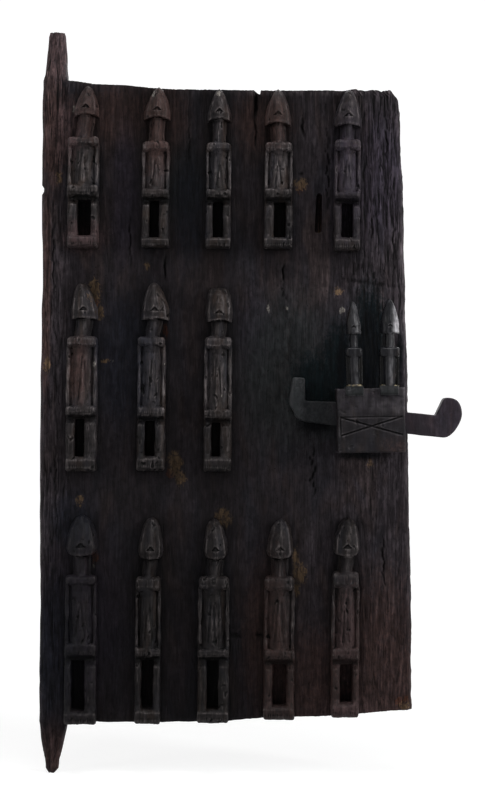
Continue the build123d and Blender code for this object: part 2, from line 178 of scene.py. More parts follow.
def paint(piece, name, values):
    layers = piece.data.attributes
    layer = layers.get(name) or layers.new(name, "FLOAT", "POINT")
    layer.data.foreach_set("value", np.clip(values, 0, 1).astype(np.float32))


def readPaint(piece, name):
    values = np.empty(len(piece.data.vertices), np.float32)
    piece.data.attributes[name].data.foreach_get("value", values)
    return values


def smoothShading(piece, angle=50):
    pick(piece)
    bpy.ops.object.shade_smooth_by_angle(angle=math.radians(angle))


# Materials

def newMaterial(name):
    material = bpy.data.materials.new(name)
    material.use_nodes = True
    tree = material.node_tree
    tree.nodes.clear()
    return material, tree


def addNode(tree, kind, inputs=None, **settings):
    node = tree.nodes.new(kind)
    for key, value in settings.items():
        setattr(node, key, value)
    for socket, value in (inputs or {}).items():
        if isinstance(value, bpy.types.NodeSocket):
            tree.links.new(value, node.inputs[socket])
        else:
            node.inputs[socket].default_value = value
    return node


def noiseField(tree, place, size, detail, stretch=(1, 1, 1), distortion=0.0):
    # noise with lumps about size millimetres, stretched along each axis
    scale = [1000 / (size * s) for s in stretch]
    mapping = addNode(tree, "ShaderNodeMapping", {"Vector": place, "Scale": scale})
    return addNode(
        tree, "ShaderNodeTexNoise",
        {"Vector": mapping.outputs[0], "Scale": 1.0, "Detail": detail, "Distortion": distortion},
    ).outputs[0]


def ramp(tree, value, low, high, fromTo=(0.0, 1.0)):
    return addNode(
        tree, "ShaderNodeMapRange",
        {0: value, 1: low, 2: high, 3: fromTo[0], 4: fromTo[1]},
        interpolation_type="SMOOTHSTEP",
    ).outputs[0]


def calc(tree, operation, a, b=0.0):
    return addNode(tree, "ShaderNodeMath", {0: a, 1: b}, operation=operation).outputs[0]


def blend(tree, factor, a, b, mode="MIX"):
    return addNode(
        tree, "ShaderNodeMix", {0: factor, 6: a, 7: b}, data_type="RGBA", blend_type=mode,
    ).outputs[2]


def color(red, green, blue):
    return (red, green, blue, 1.0)


def attribute(tree, name):
    return addNode(tree, "ShaderNodeAttribute", attribute_name=name).outputs["Fac"]


def agedWood(name, look):
    material, tree = newMaterial(name)
    place = addNode(tree, "ShaderNodeTexCoord").outputs["Object"]
    along = look["grainLength"]
    fibre = noiseField(tree, place, look["fibre"], 5, (1, 1, along))
    streak = noiseField(tree, place, look["streak"], 4, (1, 1, along * 0.7), 0.3)
    cloud = noiseField(tree, place, look["cloud"], 4, (1, 1, 1.6), 0.6)
    tint = noiseField(tree, place, look["cloud"] * 0.55, 3, (0.7, 1, 2.4), 0.8)
    surface = blend(tree, ramp(tree, cloud, 0.35, 0.65), look["dark"], look["middle"])
    surface = blend(tree, ramp(tree, tint, 0.52, 0.66, (0, look["tinting"])), surface, look["warm"])
    surface = blend(tree, ramp(tree, tint, 0.48, 0.34, (0, look["tinting"])), surface, look["cool"])
    # wear, and painted highlights, lighten the colour
    wearAndHighlight = calc(tree, "MULTIPLY", attribute(tree, "wearAndHighlight"), ramp(tree, streak, 0.3, 0.6, (0.45, 1)))
    surface = blend(tree, wearAndHighlight, surface, look["wearAndHighlight"])
    speckle = noiseField(tree, place, look["speckle"], 5, (1, 1, 1.4), 1.2)
    # stains, and the painted shadows around the lock
    for layerName, (tone, low, high, breakup) in look["stainsAndShadows"].items():
        painted = attribute(tree, layerName)
        spread = ramp(tree, speckle, 0.3, 0.7, (-0.6 * breakup, 0.4 * breakup))
        spread = calc(tree, "MULTIPLY", spread, ramp(tree, painted, 0.0, 0.3))
        amount = calc(tree, "ADD", painted, spread)
        surface = blend(tree, ramp(tree, amount, low, high), surface, tone)
    mottle = noiseField(tree, place, look["mottle"], 5, (1, 1, 1.5), 0.7)
    surface = blend(tree, 1.0, surface, ramp(tree, mottle, 0.32, 0.68, look["mottleShade"]), "MULTIPLY")
    pits = noiseField(tree, place, look["pit"], 2, (1, 1, 1.6), 0.5)
    surface = blend(tree, 1.0, surface, ramp(tree, pits, 0.27, 0.37, (look["pitShade"], 1)), "MULTIPLY")
    # streaks and fibres, then the dark pores that follow the grain
    coarse = ramp(tree, attribute(tree, "coarse"), 0.0, 1.0, (0.45, 1.0))
    for value, shade in ((streak, look["streakShade"]), (fibre, look["fibreShade"])):
        surface = blend(tree, coarse, surface, ramp(tree, value, 0.3, 0.7, shade), "MULTIPLY")
    pores = noiseField(tree, place, look["pore"], 2, (1, 1, along * 0.9), 0.15)
    pores = calc(tree, "ABSOLUTE", calc(tree, "SUBTRACT", pores, 0.5))
    poreShade = ramp(tree, pores, 0.0, 0.03, (look["poreShade"], 1))
    surface = blend(tree, coarse, surface, poreShade, "MULTIPLY")
    # dirt, and painted shade in cracks, cuts and recesses, darken the colour
    dirtAndShade = ramp(tree, attribute(tree, "dirtAndShade"), 0.0, 1.0, (1, look["hollowShade"]))
    surface = blend(tree, 1.0, surface, dirtAndShade, "MULTIPLY")
    # smoke, and painted shade beside and under the carved figures, darken the colour
    smokeAndShade = calc(tree, "SUBTRACT", 1.0, attribute(tree, "smokeAndShade"))
    surface = blend(tree, 1.0, surface, smokeAndShade, "MULTIPLY")
    shine = ramp(tree, streak, 0.3, 0.7, look["roughness"])
    bumps = calc(tree, "ADD", calc(tree, "MULTIPLY", fibre, 0.5), calc(tree, "MULTIPLY", streak, 0.6))
    bumps = calc(tree, "ADD", bumps, ramp(tree, pores, 0.0, 0.04, (-0.25, 0)))
    relief = addNode(
        tree, "ShaderNodeBump",
        {"Strength": look["bump"], "Distance": look["bumpHeight"] * mm, "Height": bumps},
    )
    shader = addNode(
        tree, "ShaderNodeBsdfPrincipled",
        {"Base Color": surface, "Roughness": shine, "Normal": relief.outputs[0],
         "Specular IOR Level": look["gloss"]},
    )
    addNode(tree, "ShaderNodeOutputMaterial", {"Surface": shader.outputs[0]})
    return material


plankLook = {
    "fibre": 1.0,
    "streak": 2.8,
    "pore": 2.6,
    "grainLength": 16,
    "cloud": 70,
    "dark": color(0.0220, 0.0180, 0.0208),
    "middle": color(0.0360, 0.0300, 0.0345),
    "warm": color(0.0450, 0.0320, 0.0305),
    "cool": color(0.0240, 0.0238, 0.0305),
    "wearAndHighlight": color(0.105, 0.090, 0.096),
    "tinting": 0.5,
    "streakShade": (0.5, 1.6),
    "fibreShade": (0.6, 1.4),
    "poreShade": 0.35,
    "hollowShade": 0.12,
    "speckle": 3.2,
    "mottle": 5.0,
    "mottleShade": (0.72, 1.3),
    "pit": 1.5,
    "pitShade": 0.35,
    # colour, where in the painted spot it starts and is full, and how far fine noise breaks it up
    "stainsAndShadows": {
        "russet": (color(0.0580, 0.0335, 0.0300), 0.0, 1.4, 0.5),
        "violet": (color(0.0340, 0.0275, 0.0400), 0.1, 1.6, 0.4),
        "slate": (color(0.0225, 0.0252, 0.0262), 0.0, 1.3, 0.4),
        "navy": (color(0.0150, 0.0165, 0.0240), 0.0, 1.4, 0.4),
        "pink": (color(0.0900, 0.0570, 0.0580), 0.1, 1.5, 0.5),
        "rust": (color(0.085, 0.034, 0.022), 0.3, 0.95, 1.1),
        "tan": (color(0.135, 0.088, 0.052), 0.2, 1.0, 1.0),
        "pale": (color(0.24, 0.22, 0.20), 0.3, 0.7, 0.8),
        # painted shadows: the dark teal and near-black shade cast by the lock and its figures
        "paintedTealShadow": (color(0.0042, 0.0080, 0.0096), 0.0, 1.0, 0.5),
        "paintedShadow": (color(0.0008, 0.0012, 0.0020), 0.0, 1.05, 0.4),
    },
    "roughness": (0.5, 0.72),
    "gloss": 0.05,
    "bump": 0.8,
    "bumpHeight": 0.8,
}
carvingLook = dict(
    plankLook,
    fibre=0.9,
    streak=2.6,
    pore=2.4,
    cloud=38,
    dark=color(0.0165, 0.0140, 0.0145),
    middle=color(0.0300, 0.0255, 0.0265),
    warm=color(0.0440, 0.0300, 0.0235),
    wearAndHighlight=color(0.130, 0.114, 0.114),
    hollowShade=0.1,
    roughness=(0.4, 0.6),
    gloss=0.07,
    bumpHeight=0.5,
)
lockLook = dict(
    carvingLook,
    pore=2.0,
    cloud=30,
    dark=color(0.0060, 0.0054, 0.0062),
    middle=color(0.0112, 0.0100, 0.0116),
    warm=color(0.0170, 0.0122, 0.0108),
    cool=color(0.0092, 0.0092, 0.0118),
    wearAndHighlight=color(0.085, 0.077, 0.083),
    tinting=0.6,
    mottleShade=(0.85, 1.15),
    pitShade=0.75,
    streakShade=(0.65, 1.4),
    fibreShade=(0.85, 1.15),
    poreShade=0.7,
    hollowShade=0.1,
    roughness=(0.4, 0.55),
    gloss=0.08,
    bumpHeight=0.25,
)
polishedLook = dict(
    lockLook,
    dark=color(0.0045, 0.0048, 0.0062),
    middle=color(0.0088, 0.0086, 0.0104),
    # the light colour of wear and of the painted highlights on the lock's figures
    wearAndHighlight=color(0.36, 0.35, 0.37),
    roughness=(0.2, 0.32),
    gloss=0.1,
    bumpHeight=0.2,
)
boltLook = dict(
    lockLook,
    dark=color(0.0135, 0.0102, 0.0135),
    middle=color(0.0215, 0.0168, 0.0215),
    warm=color(0.0290, 0.0185, 0.0200),
    roughness=(0.34, 0.48),
    gloss=0.08,
)
wedgeLook = dict(
    lockLook,
    cloud=18,
    dark=color(0.020, 0.014, 0.010),
    middle=color(0.042, 0.030, 0.020),
    warm=color(0.055, 0.035, 0.021),
    roughness=(0.6, 0.8),
    gloss=0.1,
)
plankWood = agedWood("plankWood", plankLook)
carvedWood = agedWood("carvedWood", carvingLook)
lockWood = agedWood("lockWood", lockLook)
polishedWood = agedWood("polishedWood", polishedLook)
boltWood = agedWood("boltWood", boltLook)
wedgeWood = agedWood("wedgeWood", wedgeLook)


def forgedIron():
    material, tree = newMaterial("forgedIron")
    place = addNode(tree, "ShaderNodeTexCoord").outputs["Object"]
    rust = noiseField(tree, place, 2.5, 6)
    pits = noiseField(tree, place, 0.7, 4)
    bare, rusty = color(0.03, 0.027, 0.026), color(0.07, 0.03, 0.014)
    surface = blend(tree, ramp(tree, rust, 0.4, 0.65), bare, rusty)
    relief = addNode(tree, "ShaderNodeBump", {"Strength": 0.6, "Distance": 0.2 * mm, "Height": pits})
    shader = addNode(
        tree, "ShaderNodeBsdfPrincipled",
        {"Base Color": surface, "Roughness": ramp(tree, rust, 0.35, 0.65, (0.45, 0.85)),
         "Metallic": 0.6, "Normal": relief.outputs[0]},
    )
    addNode(tree, "ShaderNodeOutputMaterial", {"Surface": shader.outputs[0]})
    return material


def oldResin():
    material, tree = newMaterial("oldResin")
    place = addNode(tree, "ShaderNodeTexCoord").outputs["Object"]
    lumps = noiseField(tree, place, 1.6, 4)
    dirt = noiseField(tree, place, 4.0, 3)
    clean, dirty = color(0.15, 0.115, 0.055), color(0.030, 0.026, 0.020)
    surface = blend(tree, ramp(tree, dirt, 0.4, 0.62), clean, dirty)
    relief = addNode(tree, "ShaderNodeBump", {"Strength": 0.8, "Distance": 0.3 * mm, "Height": lumps})
    shader = addNode(
        tree, "ShaderNodeBsdfPrincipled",
        {"Base Color": surface, "Roughness": ramp(tree, lumps, 0.3, 0.7, (0.3, 0.55)),
         "Normal": relief.outputs[0]},
    )
    addNode(tree, "ShaderNodeOutputMaterial", {"Surface": shader.outputs[0]})
    return material


iron = forgedIron()
resin = oldResin()


def finish(piece, material, body="door", angle=50):
    piece.data.materials.clear()
    piece.data.materials.append(material)
    smoothShading(piece, angle)
    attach(piece, body)
    print(piece.name, len(piece.data.polygons), "faces")
    return piece


# Carved figures: middle and width of the body, of the head (with its crown's middle) and of the leg gap;
# then the heights of the crown, chin, shoulders' top and bottom, hips, leg gap's top and bottom, soles
figures = {
    "top_1": {"body": (28.8, 30.7), "head": (30.8, 24.0, 32.6), "gap": (30.1, 13.3),
              "heights": (683.4, 654.6, 632.0, 623.0, 584.5, 569.9, 534.0, 522.1)},
    "top_2": {"body": (100.9, 27.0), "head": (101.7, 25.0, 103.2), "gap": (99.6, 9.8),
              "heights": (683.0, 652.2, 628.0, 617.6, 581.1, 569.2, 532.6, 522.7)},
    "top_3": {"body": (163.3, 24.7), "head": (163.8, 22.6, 163.3), "gap": (163.0, 10.0),
              "heights": (681.4, 651.0, 627.6, 618.4, 580.4, 568.9, 533.1, 522.2)},
    "top_4": {"body": (223.2, 27.7), "head": (221.9, 25.4, 222.2), "gap": (224.4, 12.0),
              "heights": (682.3, 647.4, 628.2, 618.2, 582.0, 569.2, 533.6, 522.7)},
    "top_5": {"body": (291.5, 25.9), "head": (291.8, 26.0, 293.3), "gap": (291.5, 11.4),
              "heights": (682.3, 646.4, 631.3, 620.4, 579.6, 569.0, 534.1, 521.0)},
    "middle_1": {"body": (28.9, 30.4), "head": (30.7, 25.9, 27.6), "gap": (27.0, 9.4),
                 "heights": (487.7, 452.0, 434.0, 423.4, 364.8, 352.4, 314.3, 299.9)},
    "middle_2": {"body": (98.2, 27.6), "head": (101.2, 26.4, 99.6), "gap": (97.0, 10.0),
                 "heights": (488.0, 452.0, 434.0, 424.4, 364.8, 351.0, 315.4, 301.2)},
    "middle_3": {"body": (164.4, 27.4), "head": (165.1, 25.6, 164.2), "gap": (162.4, 9.0),
                 "heights": (483.2, 450.6, 434.6, 422.4, 362.5, 350.0, 315.4, 300.6)},
    "bottom_1": {"body": (29.9, 31.5), "head": (29.6, 29.4, 30.2), "gap": (27.4, 12.9),
                 "heights": (256.4, 215.6, 196.6, 187.0, 129.2, 112.2, 62.0, 48.4)},
    "bottom_2": {"body": (96.7, 25.4), "head": (98.6, 23.6, 99.7), "gap": (96.4, 11.6),
                 "heights": (254.6, 212.6, 195.6, 181.6, 126.0, 113.0, 64.5, 49.6)},
    "bottom_3": {"body": (161.9, 31.0), "head": (163.4, 22.8, 161.5), "gap": (161.3, 11.6),
                 "heights": (253.2, 213.4, 196.4, 183.0, 124.8, 113.5, 64.4, 51.0)},
    "bottom_4": {"body": (227.2, 30.4), "head": (227.3, 24.8, 228.3), "gap": (227.8, 14.2),
                 "heights": (253.6, 214.4, 197.0, 183.0, 124.9, 110.1, 68.5, 54.6)},
    "bottom_5": {"body": (293.0, 27.4), "head": (294.0, 25.6, 295.6), "gap": (294.0, 12.6),
                 "heights": (255.2, 217.4, 201.8, 186.2, 126.8, 110.6, 72.0, 57.6)},
}

# Plank, with its two pivots. Heights and widths in millimetres, (height, place) pairs from the bottom up.
plank = {
    "columns": (18, 19),  # the front is cut into 18 x 19 strips across ...
    "rows": (14, 14),  # ... and 14 x 14 up
    "layers": 6,
    "backKept": 0.26,  # share of the plain back's faces that is kept
    "blank": (-14.0, 361.0, 48.0, 684.0),  # sawn board, before its edges are shaped
    "thickness": 24.0,
    "hingeSide": ((48, -12.2), (100, -12.8), (173, -12.4), (212, -12.6), (240, -13.6), (290, -14.0),
                  (400, -13.4), (511, -13.0), (560, -13.6), (577, -13.8), (581, -10.6), (585, -13.8),
                  (607, -13.9), (690, -13.5)),
    "freeSide": ((62, 361.0), (69, 361.0), (177, 359.6), (243, 357.4), (329, 355.3), (389, 354.3),
                 (436, 352.5), (490, 351.0), (522, 349.4), (585, 348.4), (617, 346.0), (644, 345.0),
                 (670, 344.3), (677, 342.0), (683, 336.0)),
    "top": ((-14, 690.6), (12, 690.6), (38, 687.0), (57, 686.7), (109, 682.9), (137, 682.3), (197, 682.0),
            (200.5, 677.5), (204, 682.0), (286, 682.3), (300, 684.0), (308, 682.2), (318, 683.8),
            (325, 681.8), (334, 683.7), (345, 682.8)),
    "bottom": ((-14, 48.6), (39, 48.8), (113, 49.4), (173, 50.9), (212, 54.2), (278, 56.7), (308, 58.9),
               (338, 62.2), (361, 63.8)),
    "edgeRound": 5.5,
    "adze": 0.75,
    "furrow": 0.75,
    "fibre": 0.22,
    "legHollow": 4.0,  # the ground behind the legs is cut this much deeper
    "gapLight": {"top_5": 1.0, "bottom_4": 0.75, "bottom_5": 0.7},  # how much of the painted shade and smoke is left out there
    "otherGaps": 0.3,
    "slotShade": 0.2,
    "backSmoke": 0.15,
    "facing": (0.4, 0.8),  # a normal with this much of Y counts as the front or the back
}
# How torn the grain is: everywhere, then more of it, as (share, from where to where across or up)
torn = {
    "everywhere": 0.3,
    "upperRight": (0.5, (268, 330), (380, 520)),
    "right": (0.3, (230, 320)),
    "hinge": (0.45, (4, 26)),
    "top": (0.2, (600, 680)),
    "most": 1.1,
    "lessBehind": 0.5,
}
# The ground that the bolt slides over stands no further out than this
boltPath = {"left": 198.0, "right": 372.0, "bottom": 328.0, "top": 402.0, "margin": 5.0, "level": 11.85}
pivots = {
    "steps": 12,
    "stepLength": 4.0,
    "upperReach": 12.2,  # the post takes the plank's top as far as this from the axis
    "lowerReach": 16.2,
    # height, left and right of the axis, half depth, roundness of the section
    "upper": ((690.6, -13.5, 12.2, 11.8, 0.1), (699, -12.0, 10.8, 11.3, 0.5),
              (710, -10.9, 10.3, 10.6, 0.9), (721, -10.0, 9.8, 9.9, 1.0), (729, -8.8, 8.9, 8.8, 1.0),
              (736.5, -8.3, 8.5, 8.3, 1.0), (739.3, -7.4, 7.4, 7.2, 1.0)),
    "lower": ((48.6, -12.0, 16.2, 11.8, 0.1), (40, -11.4, 14.8, 11.3, 0.4), (30, -10.7, 12.6, 10.4, 0.8),
              (20, -9.2, 10.6, 9.4, 1.0), (10, -7.2, 7.7, 7.5, 1.0), (1, -6.7, 6.9, 6.8, 1.0),
              (-2.6, -5.2, 5.2, 5.2, 1.0), (-4.1, -3.0, 3.0, 3.0, 1.0)),
}
# Drying cracks and cuts: where from, where to, how wide, how deep, how much they wander
cracks = (
    ((200.5, 683), (199.5, 655), 2.2, 5.0, 0.4),
    ((199.5, 655), (200.6, 626), 1.5, 2.6, 0.7),
    ((110.4, 516), (110.0, 491), 1.7, 2.8, 0.5),
    ((229.4, 509), (228.0, 489), 1.7, 2.6, 0.8),
    ((226.0, 489), (233.0, 470), 1.5, 1.8, 1.5),
    ((259.8, 327), (260.4, 276), 1.8, 2.6, 2.2),
    ((176.0, 137.0), (189.0, 136.2), 3.2, 2.4, 0.3),
    ((203.5, 136.6), (214.5, 136.0), 3.2, 2.6, 0.3),
    ((243.0, 598.5), (247.5, 598.0), 3.0, 2.2, 0.2),
    ((246.0, 655.0), (248.0, 636.0), 2.0, 2.6, 1.0),
    ((272.0, 650.0), (273.0, 560.0), 1.6, 2.0, 1.4),
    ((330.0, 660.0), (331.5, 610.0), 1.5, 2.0, 0.8),
    ((338.0, 560.0), (339.0, 500.0), 1.5, 1.8, 0.8),
    ((318.0, 560.0), (316.0, 530.0), 1.6, 2.0, 0.8),
    ((303.0, 200.0), (305.0, 150.0), 1.6, 2.0, 1.0),
    ((330.0, 240.0), (332.0, 180.0), 1.5, 2.0, 1.0),
    ((75.0, 560.0), (76.0, 500.0), 1.5, 1.6, 0.8),
    ((133.0, 660.0), (134.0, 600.0), 1.5, 1.6, 0.8),
    ((-2.0, 560.0), (-1.0, 470.0), 1.5, 1.6, 0.8),
    ((2.0, 330.0), (3.0, 250.0), 1.5, 1.6, 0.8),
    ((286.0, 494.0), (344.0, 487.0), 2.6, 1.0, 0.8),
)
# Stains, and painted shadows around the lock: middle, half width and half height
stainsAndShadows = {
    "tan": ((40.5, 479, 8, 16), (46, 459, 5, 9), (122, 308, 9, 15), (128, 293, 7, 9),
            (170.5, 254, 10, 11), (27, 270, 5, 7), (243, 216, 4, 12), (248, 199, 9, 13),
            (245, 184, 4, 9), (317, 310, 4, 6), (3.6, 593, 4, 7), (-7, 405, 4, 9), (245, 588, 9, 7),
            (354, 68, 8, 6), (52, 410, 6, 2), (92, 505, 4, 5), (284, 481, 6, 5)),
    "pale": ((213.7, 464, 1.8, 4.5), (233, 464, 1.5, 1.5), (251, 463.5, 6, 1.4), (41.6, 406, 2.0, 4),
             (57, 409, 4, 1.4), (-12.5, 581, 1.6, 4), (168, 376, 0.8, 2), (288, 462, 4, 4),
             (18.5, 662, 3, 4), (112, 407, 1.0, 2.5), (177, 377, 1.2, 1), (-13, 300, 1.6, 3),
             (41.5, 205, 2, 2), (98, 676, 2, 6), (163, 677, 3, 4)),
    "pink": ((0, 716, 20, 44), (12, 640, 18, 46), (30, 534, 30, 22), (300, 60, 40, 22),
             (293, 140, 16, 60)),
    "russet": ((-3, 640, 18, 80), (60, 655, 60, 40), (205, 650, 40, 36), (325, 110, 60, 110),
               (215, 130, 30, 110), (-9, 480, 7, 150), (262, 90, 60, 70), (110, 640, 30, 70),
               (340, 90, 40, 70), (26, 400, 14, 40), (2, 20, 18, 44)),
    "violet": ((320, 600, 50, 90), (70, 580, 20, 90), (30, 150, 60, 120), (290, 600, 24, 90),
               (200, 440, 24, 60)),
    "slate": ((232, 400, 66, 100), (130, 590, 26, 50), (270, 370, 36, 50)),
    "navy": ((2, 120, 34, 100), (68, 410, 40, 90), (134, 560, 24, 80), (20, 250, 30, 40)),
    "rust": ((43, 214, 4, 10), (42, 470, 4, 8), (118, 300, 6, 8), (111, 440, 4, 9), (245, 586, 6, 8),
             (352, 72, 10, 8)),
    # painted shadows cast by the lock, its figures and its bolt onto the plank
    "paintedTealShadow": ((262, 390, 32, 36), (284, 408, 20, 54), (315, 430, 24, 74)),
    "paintedShadow": ((315, 420, 17, 66), (289, 412, 8, 42), (345, 414, 6, 38), (262, 350, 22, 12),
             (310, 318, 34, 6), (375, 352, 26, 10)),
}
# Smoke and oil, as the share of light they take: (place, share) across, (height, share) up, in single
# places; and painted shade beside the figures, with a thin painted dark line along their edges
smokeAndShade = {
    "across": ((-14, 0.0), (3, 0.0), (20, 0.3), (60, 0.52), (100, 0.6), (150, 0.62), (200, 0.52),
               (240, 0.36), (270, 0.24), (300, 0.02), (361, 0.0)),
    "up": ((0, 0.22), (60, 0.28), (160, 0.34), (230, 0.2), (280, 0.16), (400, 0.0), (500, -0.1),
           (560, 0.06), (640, 0.08), (700, 0.2), (744, 0.2)),
    # middle, half width and half height, and the share
    "places": ((67, 395, 20, 60, -0.36), (133, 395, 18, 60, -0.18), (65, 278, 30, 24, 0.28),
               (262, 278, 30, 24, 0.3), (132, 150, 20, 90, -0.36), (195, 150, 20, 90, -0.6),
               (260, 150, 18, 90, -0.28), (342, 150, 24, 90, 0.16), (-2, 150, 15, 100, 0.24)),
    "beside": 0.34,
    "besideReach": 17.0,
    "edge": 0.4,
    "edgeReach": 3.0,
}
slot = {"middle": 263.2, "width": 7.4, "narrowing": 1.8, "bottom": 539.6, "top": 579.4, "depth": 16.5}
# Stub of a figure that has worn away, and its outline: (share of its height, share of its width)
ghost = {
    "x": 227.5,
    "width": 24.0,
    "base": 407.0,
    "height": 84.0,
    "proud": 1.0,
    "outline": ((0, 1), (0.12, 1), (0.14, 0.8), (0.42, 0.8), (0.45, 1), (0.62, 0.9), (0.66, 0.45),
                (0.72, 0.45), (0.78, 0.9), (1, 0.1)),
}


def along(pairs, places):
    heights, values = zip(*pairs)
    return np.interp(places, heights, values)


def splitEdges(axis, cuts):
    # cuts every edge that runs along one axis
    mesh = bmesh.from_edit_mesh(bpy.context.object.data)
    for edge in mesh.edges:
        run = edge.verts[1].co - edge.verts[0].co
        edge.select = abs(run[axis]) > 0.9 * run.length
    bmesh.update_edit_mesh(bpy.context.object.data)
    bpy.ops.mesh.subdivide(number_cuts=cuts)


def selectFaces(test):
    mesh = bmesh.from_edit_mesh(bpy.context.object.data)
    for face in mesh.faces:
        face.select = test(face)
    mesh.select_flush_mode()
    bmesh.update_edit_mesh(bpy.context.object.data)


def block(x, width, back, front, low, high, rounding=0.0, steps=2):
    # back and front are distances towards the viewer's side of the plank's middle plane
    bpy.ops.mesh.primitive_cube_add(
        size=1,
        location=(x * mm, -(back + front) / 2 * mm, (low + high) / 2 * mm),
        scale=(width * mm, (front - back) * mm, (high - low) * mm),
    )
    piece = settle(bpy.context.object)
    if rounding:
        bpy.ops.object.mode_set(mode="EDIT")
        bpy.ops.mesh.select_all(action="SELECT")
        bpy.ops.mesh.bevel(offset=rounding * mm, segments=steps, affect="EDGES")
        bpy.ops.object.mode_set(mode="OBJECT")
    return piece


def column(x, front, width, depth, low, high, taper=1.0, sides=32):
    # an upright column of oval section, its axis at the distance front
    bpy.ops.mesh.primitive_cylinder_add(
        vertices=sides, radius=0.5, depth=1,
        location=(x * mm, -front * mm, (low + high) / 2 * mm),
        scale=(width * mm, depth * mm, (high - low) * mm),
    )
    piece = settle(bpy.context.object)
    bpy.ops.object.mode_set(mode="EDIT")
    selectFaces(lambda face: face.normal.z > 0.9)
    bpy.ops.transform.resize(value=(taper, taper, 1), center_override=(x * mm, -front * mm, high * mm))
    bpy.ops.object.mode_set(mode="OBJECT")
    return piece


def nearLine(points, start, end, wander, seed):
    # distance to a wandering line, and how much of its depth is left towards its ends
    begin, last = np.array(start), np.array(end)
    run = last - begin
    flat, height = points[:, [0, 2]].copy(), points[:, 2]
    flat[:, 0] += wander * (np.sin(height * 0.31 + seed) + 0.6 * np.sin(height * 0.83 + 2 * seed))
    share = np.clip((flat - begin) @ run / (run @ run), 0, 1)
    away = np.linalg.norm(flat - begin - share[:, None] * run, axis=1)
    fade = np.sqrt(np.clip(4 * share * (1 - share), 0.05, 1))
    return away, fade


def besideFigures(points):
    # distance to the nearest carved figure
    nearest = np.full(len(points), 1000.0)
    for row in figures.values():
        (x, width), (headX, head, _), heights = row["body"], row["head"], row["heights"]
        crown, shoulder, base = heights[0], heights[2], heights[-1]
        boxes = ((x, width, base, shoulder), (headX, 0.8 * head, shoulder, crown - 8))
        for middle, wide, low, high in boxes:
            across = np.maximum(np.abs(points[:, 0] - middle) - wide / 2, 0)
            up = np.maximum(np.maximum(low - points[:, 2], points[:, 2] - high), 0)
            nearest = np.minimum(nearest, np.hypot(across, up))
    return nearest


def smokedAndShaded(points):
    away = besideFigures(points)
    left = (1 - along(smokeAndShade["across"], points[:, 0])) * (1 - along(smokeAndShade["up"], points[:, 2]))
    for x, z, wide, tall, share in smokeAndShade["places"]:
        left *= 1 - share * np.exp(-((points[:, 0] - x) / wide) ** 2 - ((points[:, 2] - z) / tall) ** 2)
    # painted shade beside the figures, and a thin painted dark line where they meet the plank
    left *= 1 - smokeAndShade["beside"] * np.exp(-((away / smokeAndShade["besideReach"]) ** 2))
    return 1 - left * (1 - smokeAndShade["edge"] * np.exp(-((away / smokeAndShade["edgeReach"]) ** 2)))


def paintStainsAndShadows(piece, points, onFront):
    # the small crusts and the painted shadows lie on the front alone
    for name, spots in stainsAndShadows.items():
        amount = np.zeros(len(points))
        for x, z, wide, tall in spots:
            away = np.hypot((points[:, 0] - x) / wide, (points[:, 2] - z) / tall)
            amount = np.maximum(amount, 1 - smoothStep(away, 0.3, 1.3))
        paint(piece, name, amount * (onFront if name in ("tan", "pale", "rust", "paintedTealShadow", "paintedShadow") else 1))


def sawnBoard():
    # cut into a fine grid, with the two posts drawn out of its ends
    left, right, low, high = plank["blank"]
    half = plank["thickness"] / 2
    board = block((left + right) / 2, right - left, -half, half, low, high)
    bpy.ops.object.mode_set(mode="EDIT")
    bpy.ops.mesh.select_mode(type="EDGE")
    for axis, parts in ((0, plank["columns"]), (2, plank["rows"]), (1, (plank["layers"],))):
        for count in parts:
            splitEdges(axis, count - 1)
    bpy.ops.mesh.select_mode(type="FACE")
    for side, reach in ((1, pivots["upperReach"]), (-1, pivots["lowerReach"])):
        selectFaces(lambda face: side * face.normal.z > 0.9 and face.calc_center_median().x < reach * mm)
        for _ in range(pivots["steps"]):
            move = {"value": (0, 0, side * pivots["stepLength"] * mm)}
            bpy.ops.mesh.extrude_region_move(TRANSFORM_OT_translate=move)
    bpy.ops.object.mode_set(mode="OBJECT")
    return joined("doorBoard", board)


def shapePost(flat, side, reach, profile):
    # turns the drawn-out end from square to round, and tapers it
    left, _, low, high = plank["blank"]
    cell = (plank["blank"][1] - left) / math.prod(plank["columns"])
    wide = math.ceil((reach - left) / cell - 0.5) * cell
    root = high if side > 0 else low
    share = np.abs(flat[:, 2] - root) / (pivots["stepLength"] * pivots["steps"])
    z = profile[0][0] + share * (profile[-1][0] - profile[0][0])
    ordered = sorted(profile)
    columns = [along([(row[0], row[i]) for row in ordered], z) for i in range(1, 5)]
    before, after, deep, roundness = columns
    u = np.clip(2 * (flat[:, 0] - left) / wide - 1, -1, 1)
    v = flat[:, 1] / (plank["thickness"] / 2)
    discU, discV = u * np.sqrt(1 - v * v / 2), v * np.sqrt(1 - u * u / 2)
    u, v = u + (discU - u) * roundness, v + (discV - v) * roundness
    return np.column_stack([(before + after) / 2 + u * (after - before) / 2, v * deep, z])


